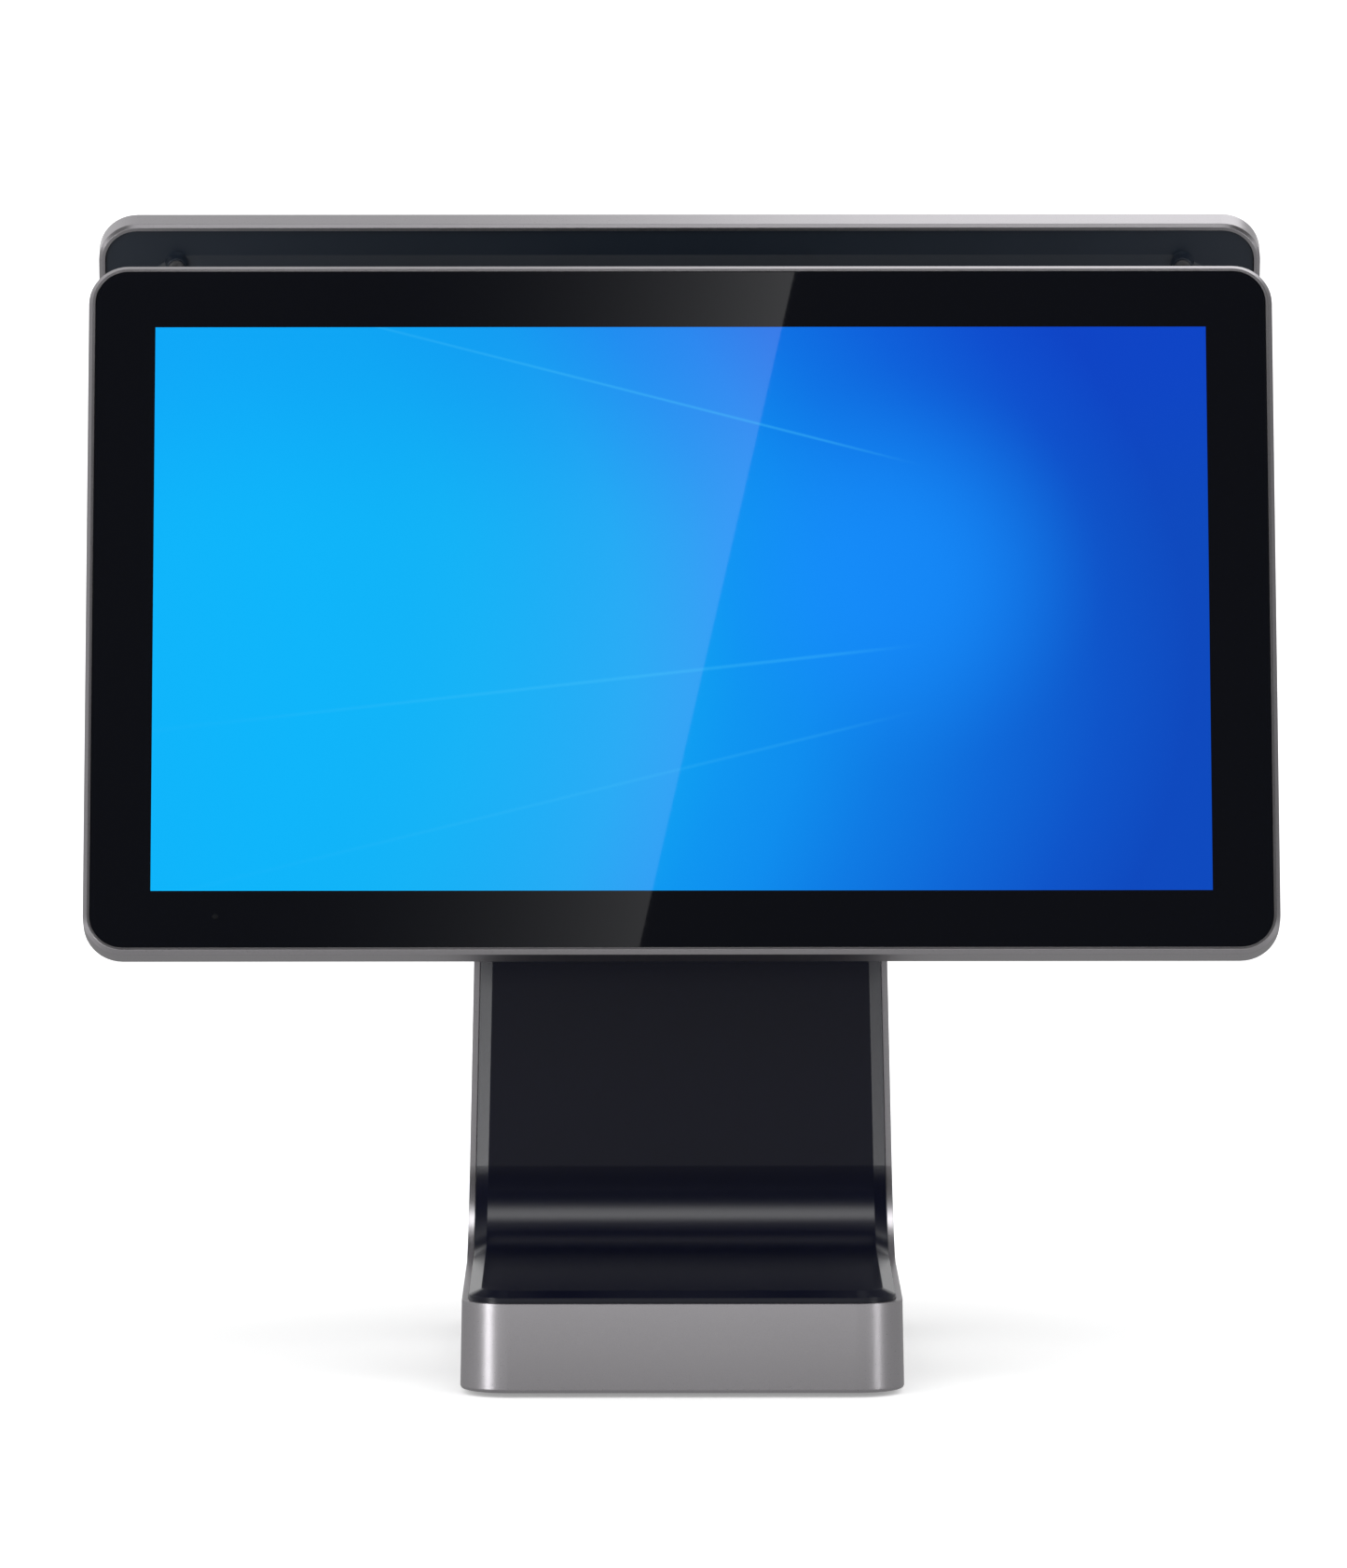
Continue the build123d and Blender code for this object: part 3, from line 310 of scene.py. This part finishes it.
def plated_steel(name="zinc_plated_steel", tone=(0.55, 0.55, 0.57), rough=0.33, stretch=(1, 1, 1)):
    """Plated metal with a fine grain, which stretch draws out along an axis."""
    shade = Shade(name, tone, rough, 1.0)
    grain = shade.noise(700, 3.0, 0.6, stretch)
    bloom = shade.noise(60, 3.0)
    dull = tuple(channel * 0.8 for channel in tone)
    bright = tuple(min(1, channel * 1.15) for channel in tone)
    shade.set("Base Color", shade.blend(bloom, dull, bright))
    shade.set("Roughness", shade.step(grain, 0.2, 0.8, rough - 0.08, rough + 0.12))
    shade.bump(grain, 0.02 * MM, 0.5)
    return shade.material


def powder_coat():
    """Black powder-coated steel."""
    shade = Shade("black_powder_coat", (0.03, 0.03, 0.033), 0.5)
    grain = shade.noise(1100, 2.0, 0.5)
    shade.set("Base Color", shade.blend(grain, (0.022, 0.022, 0.025), (0.036, 0.036, 0.039)))
    shade.set("Roughness", shade.step(grain, 0.2, 0.8, 0.40, 0.60))
    shade.bump(grain, 0.04 * MM, 0.8)
    return shade.material


def cast_black():
    """Blackened metal casting."""
    shade = Shade("black_casting", (0.05, 0.05, 0.055), 0.45, 0.85)
    grain = shade.noise(800, 4.0, 0.7)
    shade.set("Base Color", shade.blend(grain, (0.035, 0.035, 0.04), (0.07, 0.07, 0.075)))
    shade.set("Roughness", shade.step(grain, 0.2, 0.8, 0.38, 0.58))
    shade.bump(grain, 0.05 * MM, 0.8)
    return shade.material


def soft_rubber():
    """Black rubber with a little dust."""
    shade = Shade("soft_rubber", (0.016, 0.016, 0.016), 0.75)
    grain = shade.noise(900, 3.0, 0.6)
    dust = shade.noise(120, 4.0, 0.7)
    shade.set("Base Color", shade.blend(dust, (0.012, 0.012, 0.012), (0.03, 0.029, 0.028)))
    shade.set("Roughness", shade.step(grain, 0.2, 0.8, 0.65, 0.9))
    shade.bump(grain, 0.03 * MM, 0.7)
    return shade.material


def solder_mask():
    """Green board with copper tracks under the mask and small gold pads."""
    shade = Shade("solder_mask", (0.01, 0.09, 0.04), 0.3)
    tracks = shade.step(shade.cells(420, "DISTANCE_TO_EDGE"), 0.02, 0.06)
    speck = shade.step(shade.cells(900), 0.10, 0.06)
    green = shade.blend(tracks, (0.03, 0.20, 0.09), (0.008, 0.085, 0.04))
    shade.set("Base Color", shade.blend(speck, green, (0.75, 0.62, 0.30)))
    shade.set("Roughness", shade.step(tracks, 0.0, 1.0, 0.26, 0.36))
    shade.bump(tracks, 0.03 * MM, 0.6)
    return shade.material


def tinned_steel():
    return plated_steel("tinned_socket", (0.62, 0.61, 0.59), 0.28)


def moulded_socket():
    """The black moulding of sockets and connectors."""
    shade = Shade("moulded_socket", (0.022, 0.022, 0.024), 0.5)
    grain = shade.noise(1300, 3.0, 0.6)
    shade.set("Base Color", shade.blend(grain, (0.018, 0.018, 0.020), (0.030, 0.030, 0.032)))
    shade.set("Roughness", shade.step(grain, 0.2, 0.8, 0.42, 0.6))
    shade.bump(grain, 0.03 * MM, 0.6)
    return shade.material


def lamp_lens():
    """The dark lens over an unlit lamp."""
    shade = Shade("lamp_lens", (0.004, 0.004, 0.005), 0.12)
    frost = shade.noise(2500, 2.0)
    shade.set("Base Color", shade.blend(frost, (0.003, 0.0032, 0.004), (0.007, 0.0075, 0.009)))
    shade.bump(frost, 0.01 * MM, 0.6)
    return shade.material


def gold_plate():
    return plated_steel("gold_contacts", (0.83, 0.60, 0.24), 0.22)


# ---- pieces made here ----------------------------------------------------------------------------
def add_piece(name, bm, body, slot, material=None):
    """A piece with that body's motion, in its slot's material unless another is given."""
    mesh = bpy.data.meshes.new(name)
    bmesh.ops.recalc_face_normals(bm, faces=bm.faces)
    bm.to_mesh(mesh)
    bm.free()
    mesh.materials.append(material or SLOT_MATERIAL[slot])
    piece = bpy.data.objects.new(name, mesh)
    bpy.context.scene.collection.objects.link(piece)
    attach(piece, body)
    return piece


def ring_stack(bm, rings):
    """A closed skin through rings of points, with a flat end at each side."""
    loops = [[bm.verts.new(point) for point in ring] for ring in rings]
    count = len(loops[0])
    for lower, upper in zip(loops, loops[1:]):
        for i in range(count):
            j = (i + 1) % count
            bm.faces.new((lower[i], lower[j], upper[j], upper[i]))
    bm.faces.new(reversed(loops[0]))
    bm.faces.new(loops[-1])


def turned(bm, centre, axis, profile, hexed=()):
    """A turned shape: profile holds (distance along the axis, radius).

    The rings whose places in the profile are in hexed are six-sided.
    """
    turn = axis.to_track_quat("Z", "Y").to_matrix()
    rings = []
    for index, (along, radius) in enumerate(profile):
        ring = []
        for i in range(ROUND_SIDES):
            angle = tau * i / ROUND_SIDES
            reach = radius
            if index in hexed:
                reach = radius / cos((angle + pi / 6) % (pi / 3) - pi / 6)
            ring.append(centre + turn @ Vector((reach * cos(angle), reach * sin(angle), along)))
        rings.append(ring)
    ring_stack(bm, rings)


def rounded_bar(bm, low, high, radius):
    """A bar along Y between two corners, with its four long edges rounded."""
    middle = (low + high) / 2
    half = (high - low) / 2
    rings = []
    inset = min(radius, half.y) * 0.5
    for y, shrink in ((low.y, inset), (low.y + inset, 0.0), (high.y - inset, 0.0), (high.y, inset)):
        ring = []
        for corner in range(4):
            side = (1, -1, -1, 1)[corner]
            top = (1, 1, -1, -1)[corner]
            for step in range(4):
                angle = tau / 4 * (corner + step / 3)
                x = middle.x + side * (half.x - radius) + (radius - shrink) * cos(angle)
                z = middle.z + top * (half.z - radius) + (radius - shrink) * sin(angle)
                ring.append((x, y, z))
        rings.append(ring)
    ring_stack(bm, rings)


def islands(mesh):
    """The separate solids of a mesh, each as the list of its faces."""
    group = list(range(len(mesh.vertices)))

    def root(index):
        while group[index] != index:
            group[index] = group[group[index]]
            index = group[index]
        return index

    spots = {}
    for vertex in mesh.vertices:
        key = tuple(round(c * 1e6) for c in vertex.co)
        group[vertex.index] = spots.setdefault(key, vertex.index)
    for edge in mesh.edges:
        first, second = (root(index) for index in edge.vertices)
        group[first] = second
    found = {}
    for face in mesh.polygons:
        found.setdefault(root(face.vertices[0]), []).append(face)
    return list(found.values())


def corners(mesh, faces):
    """The lowest and the highest corner of the box round some faces."""
    points = [mesh.vertices[index].co for face in faces for index in face.vertices]
    low = Vector([min(axis) for axis in zip(*points)])
    high = Vector([max(axis) for axis in zip(*points)])
    return low, high


def screw_sizes(mesh, faces):
    """A screw's top, direction towards its head, length, head thickness, head radius and shank radius."""
    spread = numpy.zeros((3, 3))
    for face in faces:
        normal = numpy.array(face.normal)
        spread += face.area * numpy.outer(normal, normal)
    values, vectors = numpy.linalg.eigh(spread)
    odd = 0 if values[1] - values[0] > values[2] - values[1] else 2
    axis = Vector(vectors[:, odd]).normalized()
    points = [mesh.vertices[index].co for face in faces for index in face.vertices]
    along = [axis.dot(point) for point in points]
    low, high = min(along), max(along)
    ends = []
    for level in (low, high):
        rim = [point for point, place in zip(points, along) if abs(place - level) < 0.02 * MM]
        middle = sum(rim, Vector()) / len(rim)
        ends.append((max((point - middle).length for point in rim), middle))
    if ends[0][0] > ends[1][0]:
        axis = -axis
        ends.reverse()
        low, high = -high, -low
    top = ends[1][1]
    # What stands out past the shank belongs to the head, and its lowest level is the head's underside.
    shoulder = [point for point in points if axis.dot(point) < high - 0.05 * MM
                and (point - top - axis * axis.dot(point - top)).length > ends[0][0] * 1.15]
    level = min((axis.dot(point) for point in shoulder), default=high - 1.0 * MM)
    return top, axis, high - low, high - level, ends[1][0], ends[0][0]


def driven_screws(node, body):
    """The screws of a CAD node with domed edges and a six-sided recess in each head."""
    mesh = frame["nodes"][node].data
    bm = bmesh.new()
    for faces in islands(mesh):
        top, axis, length, thick, head, shank = screw_sizes(mesh, faces)
        key = head * DRIVE_SHARE
        depth = min(thick * 0.6, DRIVE_DEPTH)
        profile = [
            (-length, shank * 0.7), (-length + shank * 0.3, shank), (-thick, shank), (-thick, head),
            (-thick * 0.35, head), (-thick * 0.12, head * 0.93), (0.0, head * 0.80),
            (0.0, key * 1.08), (-0.08 * MM, key), (-depth, key), (-depth * 1.15, key * 0.4),
        ]
        turned(bm, top, axis, profile, hexed=(7, 8, 9))
    piece = add_piece(node + "_driven", bm, body, "black_steel")
    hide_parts(node)


def screw_bosses(node, body):
    """Moulded bosses that carry the heads of the cover screws above the sloping edge of a rear cover."""
    mesh = frame["nodes"][node].data
    bm = bmesh.new()
    for faces in islands(mesh):
        top, axis, _, thick, head, _ = screw_sizes(mesh, faces)
        profile = [
            (-thick - BOSS_HEIGHT, head * 1.60), (-thick - 0.6 * BOSS_HEIGHT, head * 1.34),
            (-thick - 0.3 * MM, head * 1.22), (-thick - 0.06 * MM, head * 1.16), (-thick, head * 1.06),
        ]
        turned(bm, top, axis, profile)
    add_piece(node.replace("screws", "screw_bosses"), bm, body, "black_plastic")


def jack_contacts(name, node, count, level, length, drop):
    """Sprung gold contacts, side by side in a jack, sloping back and down from its roof."""
    low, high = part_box(node)
    middle = (low.x + high.x) / 2
    steps = 6
    bm = bmesh.new()
    for i in range(count):
        x = middle + (i - (count - 1) / 2) * WIRE_PITCH
        left, right = x - WIRE_HALF, x + WIRE_HALF
        rings = []
        for step in range(steps + 1):
            share = step / steps
            y = high.y - WIRE_INSET - length * share
            z = low.z + level - drop * sin(share * pi / 2)
            under, over = z - WIRE_HALF, z + WIRE_HALF
            rings.append([(left, y, under), (right, y, under), (right, y, over), (left, y, over)])
        ring_stack(bm, rings)
    add_piece(name, bm, "stand", "socket_metal", gold)


def usb_tongues():
    """A moulded sleeve round the tongue of each data socket, with four gold contacts under it."""
    mesh = frame["nodes"]["usb_sockets"].data
    sleeves = bmesh.new()
    contacts = bmesh.new()
    side_gap = 1.1 * MM
    thick = 1.9 * MM
    width_half = 0.5 * MM
    for faces in islands(mesh):
        low, high = corners(mesh, faces)
        mouth = high.y
        for level in USB_LEVELS:
            foot = low.z + level + 2.6 * MM
            near = Vector((low.x + side_gap, mouth - 10.9 * MM, foot))
            far = Vector((high.x - side_gap, mouth - 0.9 * MM, foot + thick))
            rounded_bar(sleeves, near, far, TONGUE_EDGE)
            for i in range(4):
                x = (low.x + high.x) / 2 + (i - 1.5) * USB_PITCH
                near = Vector((x - width_half, mouth - 9.5 * MM, foot - 0.12 * MM))
                far = Vector((x + width_half, mouth - 1.4 * MM, foot + 0.04 * MM))
                rounded_bar(contacts, near, far, THIN_EDGE)
    add_piece("usb_tongues", sleeves, "stand", "socket_plastic")
    add_piece("usb_contacts", contacts, "stand", "socket_metal", gold)


def video_tongue():
    """The moulded tongue of the video socket."""
    low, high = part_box("video_socket")
    middle = (low.z + high.z) / 2
    side_gap = 1.9 * MM
    thick_half = 0.6 * MM
    bm = bmesh.new()
    near = Vector((low.x + side_gap, high.y - 7.9 * MM, middle - thick_half))
    far = Vector((high.x - side_gap, high.y - 1.4 * MM, middle + thick_half))
    rounded_bar(bm, near, far, TONGUE_EDGE)
    add_piece("video_tongue", bm, "stand", "socket_plastic")


def network_liner():
    """Black moulding in the network jack: back wall, sides, the two shelves by the latch and the roof."""
    low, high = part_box("network_socket")
    across = Vector(((low.x + high.x) / 2, 0, 0))
    thick = 0.25 * MM
    half = 6.0 * MM          # half the width of the jack
    latch = 2.6 * MM         # and of the latch's channel in its floor
    back = high.y - 11.9 * MM
    mouth = high.y - 0.3 * MM
    floor = low.z + 3.6 * MM
    roof = low.z + 11.6 * MM
    bm = bmesh.new()
    for near, far in (
            ((-half, back, floor), (half, back + thick, roof)),
            ((-half, back, floor), (thick - half, mouth, roof)),
            ((half - thick, back, floor), (half, mouth, roof)),
            ((-half, back, floor), (-latch, mouth, floor + thick)),
            ((latch, back, floor), (half, mouth, floor + thick)),
            ((-half, back, roof - thick), (half, mouth, roof))):
        rounded_bar(bm, across + Vector(near), across + Vector(far), THIN_EDGE)
    add_piece("network_liner", bm, "stand", "socket_plastic")


def ribbed_feet():
    """Rubber feet with a rounded edge and two grooves underneath."""
    mesh = frame["nodes"]["rubber_feet"].data
    bm = bmesh.new()
    for faces in islands(mesh):
        low, high = corners(mesh, faces)
        under = Vector(((low.x + high.x) / 2, (low.y + high.y) / 2, low.z))
        radius = (high.x - low.x) / 2
        tall = high.z - low.z
        groove = 0.3 * tall
        profile = [
            (tall, radius), (groove, radius), (0.1 * tall, radius * 0.98), (0.0, radius * 0.93),
            (0.0, radius * 0.78), (groove, radius * 0.75), (groove, radius * 0.69), (0.0, radius * 0.66),
            (0.0, radius * 0.48), (groove, radius * 0.45), (groove, radius * 0.39), (0.0, radius * 0.36),
        ]
        turned(bm, under, Vector((0, 0, 1)), profile)
    piece = add_piece("ribbed_feet", bm, "stand", "rubber")
    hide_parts("rubber_feet")


# ---- lights, floor and view ----------------------------------------------------------------------
def area_lamp(name, width, height, radiance, placed):
    """A flat lamp that lights and is mirrored, but isn't seen itself. Returns its light data."""
    data = bpy.data.lights.new(name, "AREA")
    data.shape = "RECTANGLE"
    data.size = width
    data.size_y = height
    data.energy = radiance * width * height * LAMP_WATTS
    lamp = bpy.data.objects.new(name, data)
    bpy.context.scene.collection.objects.link(lamp)
    lamp.matrix_world = placed
    lamp.visible_camera = False
    return data


def softbox(name, target, azimuth, elevation, distance, width, height, radiance):
    """A flat soft light that faces target. Azimuth 0 is straight in front, positive to the right."""
    turn = radians(azimuth)
    rise = radians(elevation)
    away = Vector((sin(turn) * cos(rise), -cos(turn) * cos(rise), sin(rise)))
    facing = away.to_track_quat("Z", "Y").to_matrix().to_4x4()
    area_lamp(name, width, height, radiance, Matrix.Translation(target + away * distance) @ facing)


def studio_world():
    """White all round, and a dim room with a lighter back and horizon for what glossy surfaces mirror."""
    world = bpy.data.worlds.new("studio")
    bpy.context.scene.world = world
    world.use_nodes = True
    tree = world.node_tree
    tree.nodes.clear()
    link = tree.links.new

    def step(value, low, high, start, end):
        node = tree.nodes.new("ShaderNodeMapRange")
        node.interpolation_type = "SMOOTHSTEP"
        link(value, node.inputs["Value"])
        for key, number in {"From Min": low, "From Max": high, "To Min": start, "To Max": end}.items():
            node.inputs[key].default_value = number
        return node.outputs[0]

    place = tree.nodes.new("ShaderNodeTexCoord").outputs["Generated"]
    split = tree.nodes.new("ShaderNodeSeparateXYZ")
    link(place, split.inputs[0])
    room = tree.nodes.new("ShaderNodeBackground")
    link(step(split.outputs["Z"], 0.0, 0.8, ROOM_ROUND, ROOM_ABOVE), room.inputs["Strength"])
    sky = step(split.outputs["Y"], -0.25, 0.75, FRONT_GLOOM, BACK_GLOW)
    band = step(split.outputs["Z"], 0.02, 0.23, HORIZON_GLOW, 0.0)
    shown = tree.nodes.new("ShaderNodeMath")
    shown.operation = "MAXIMUM"
    link(sky, shown.inputs[0])
    link(band, shown.inputs[1])
    sided = tree.nodes.new("ShaderNodeMath")
    sided.operation = "MULTIPLY"
    link(shown.outputs[0], sided.inputs[0])
    link(step(split.outputs["X"], -0.9, 0.9, LEFT_SHARE, RIGHT_SHARE), sided.inputs[1])
    mirrored = tree.nodes.new("ShaderNodeBackground")
    link(sided.outputs[0], mirrored.inputs["Strength"])
    path = tree.nodes.new("ShaderNodeLightPath")
    mix = tree.nodes.new("ShaderNodeMixShader")
    link(path.outputs["Is Glossy Ray"], mix.inputs[0])
    link(room.outputs[0], mix.inputs[1])
    link(mirrored.outputs[0], mix.inputs[2])
    link(mix.outputs[0], tree.nodes.new("ShaderNodeOutputWorld").inputs[0])


def studio_floor():
    """A white floor. Glossy surfaces mirror it darker beside the terminal, as if in its shade."""
    reach = 40.0
    mesh = bpy.data.meshes.new("studio_floor")
    rim = [(-reach, -reach, 0), (reach, -reach, 0), (reach, reach, 0), (-reach, reach, 0)]
    mesh.from_pydata(rim, [], [(0, 1, 2, 3)])
    floor = bpy.data.objects.new("studio_floor", mesh)
    bpy.context.scene.collection.objects.link(floor)
    shade = Shade("studio_floor", (0.93, 0.93, 0.93), 0.9, specular=0.0)
    cloud = shade.noise(3.0, 2.0)
    shade.set("Base Color", shade.blend(cloud, (0.92, 0.92, 0.92), (0.94, 0.94, 0.94)))
    shade.set("Emission Color", (1.0, 1.0, 1.0, 1.0))
    shade.set("Emission Strength", FLOOR_GLOW)
    forward = shade.split(shade.place)[1]
    seen = shade.step(forward, FOOT_FRONT - FLOOR_FADE, FOOT_FRONT, FLOOR_FAR, FLOOR_NEAR)
    mirrored = shade.add("ShaderNodeEmission", {"Strength": seen})
    path = shade.add("ShaderNodeLightPath")
    mix = shade.add("ShaderNodeMixShader", {0: path.outputs["Is Glossy Ray"]})
    shade.plug(shade.shader.outputs[0], mix.inputs[1])
    shade.plug(mirrored.outputs[0], mix.inputs[2])
    shade.plug(mix.outputs[0], shade.tree.nodes["Material Output"].inputs["Surface"])
    mesh.materials.append(shade.material)


def sheen_card(place):
    """The lit card whose slanted edge shows in the operator's screen."""
    camera = bpy.context.scene.camera.matrix_world.translation
    centre = place.translation
    out = (place.to_3x3() @ Vector((0, 0, 1))).normalized()
    sight = (centre - camera).normalized()
    mirrored = sight - 2 * sight.dot(out) * out
    right = Vector((1, 0, 0))
    up = (right.cross(-mirrored)).normalized()
    up = -up if up.z < 0 else up
    spread = 1 + CARD_DISTANCE / (centre - camera).length
    top = EDGE_TOP * spread
    foot = EDGE_FOOT * spread
    slant = (top - foot).normalized()
    middle = (top + foot) / 2
    sideways = Vector((slant.y, -slant.x))
    card_centre = middle - sideways * CARD_WIDTH / 2
    axis_y = right * slant.x + up * slant.y
    axis_x = right * sideways.x + up * sideways.y
    turn = Matrix((axis_x, axis_y, axis_x.cross(axis_y))).transposed().to_4x4()
    spot = centre + mirrored * CARD_DISTANCE + right * card_centre.x + up * card_centre.y
    data = area_lamp("sheen_card", CARD_WIDTH, CARD_HEIGHT, CARD_RADIANCE, Matrix.Translation(spot) @ turn)
    data.use_nodes = True
    tree = data.node_tree
    emission = tree.nodes["Emission"]
    geometry = tree.nodes.new("ShaderNodeNewGeometry")
    split = tree.nodes.new("ShaderNodeSeparateXYZ")
    tree.links.new(geometry.outputs["Parametric"], split.inputs[0])
    fade = tree.nodes.new("ShaderNodeMath")
    fade.operation = "POWER"
    tree.links.new(split.outputs[0], fade.inputs[0])
    fade.inputs[1].default_value = CARD_FADE
    lower = tree.nodes.new("ShaderNodeMapRange")
    tree.links.new(split.outputs[1], lower.inputs["Value"])
    lower.inputs["To Min"].default_value = CARD_FOOT_SHARE
    lower.inputs["To Max"].default_value = 1.0
    shown = tree.nodes.new("ShaderNodeMath")
    shown.operation = "MULTIPLY"
    tree.links.new(fade.outputs[0], shown.inputs[0])
    tree.links.new(lower.outputs[0], shown.inputs[1])
    tree.links.new(shown.outputs[0], emission.inputs["Strength"])


def add_camera():
    data = bpy.data.cameras.new("camera")
    data.lens = LENS
    data.sensor_width = SENSOR
    data.clip_end = 100.0
    camera = bpy.data.objects.new("camera", data)
    bpy.context.scene.collection.objects.link(camera)
    turn = Matrix.Rotation(radians(CAMERA_TURN), 4, "Z")
    about = Matrix.Translation(TURN_CENTRE) @ turn @ Matrix.Translation(-TURN_CENTRE)
    aim = Matrix.Rotation(radians(90 - CAMERA_DOWN), 4, "X") @ Matrix.Rotation(radians(CAMERA_ROLL), 4, "Z")
    camera.matrix_world = about @ Matrix.Translation(CAMERA_PLACE) @ aim
    bpy.context.scene.camera = camera


MAIN_PLACE = panel_place("main_glass", -1)
CUSTOMER_PLACE = panel_place("customer_glass", 1)

bpy.context.scene.view_settings.view_transform = "Standard"
add_camera()
studio_world()
studio_floor()
sheen_card(MAIN_PLACE)
for numbers in SOFTBOXES:
    softbox(*numbers)
bpy.data.lights["bend_strip"].spread = radians(BEND_SPREAD)

SLOT_MATERIAL = {
    "space_grey_aluminium": anodised_aluminium(),
    "black_gloss_cover": gloss_cover(),
    "black_plastic": moulded_black(),
    "display_module": plated_steel("display_frame", (0.5, 0.5, 0.52), 0.3),
    "steel": plated_steel(),
    "black_steel": powder_coat(),
    "cast_arm": cast_black(),
    "rubber": soft_rubber(),
    "circuit_board": solder_mask(),
    "socket_metal": tinned_steel(),
    "socket_plastic": moulded_socket(),
    "heat_sink_metal": plated_steel("heat_sink", (0.72, 0.72, 0.74), 0.35, (1, 0.1, 1)),
    "button_metal": plated_steel("turned_button", (0.45, 0.44, 0.46), 0.3),
    "lamp_lens": lamp_lens(),
}
SCREEN_MATERIAL = {
    "main_glass": screen_glass("main_screen", MAIN_PLACE),
    "customer_glass": screen_glass("customer_screen", CUSTOMER_PLACE),
}
for part in frame["record"]["subparts"]:
    name = part["node"]
    material = SCREEN_MATERIAL.get(name) or SLOT_MATERIAL[part["material_slot"]]
    mesh = frame["nodes"][name].data
    mesh.materials.clear()
    mesh.materials.append(material)

gold = gold_plate()
for node, body in (
        ("back_cover_screws", "stand"), ("bottom_plate_screws", "stand"), ("spine_screws", "stand"),
        ("main_arm_screws", "main_head"), ("main_cover_screws", "main_head"),
        ("customer_arm_screws", "customer_head"), ("customer_cover_screws", "customer_head")):
    driven_screws(node, body)
screw_bosses("main_cover_screws", "main_head")
screw_bosses("customer_cover_screws", "customer_head")
ribbed_feet()
jack_contacts("network_contacts", "network_socket", 8, 11.2 * MM, 8.0 * MM, 4.6 * MM)
jack_contacts("cash_drawer_contacts", "cash_drawer_socket", 6, 9.8 * MM, 7.0 * MM, 4.2 * MM)
usb_tongues()
video_tongue()
network_liner()
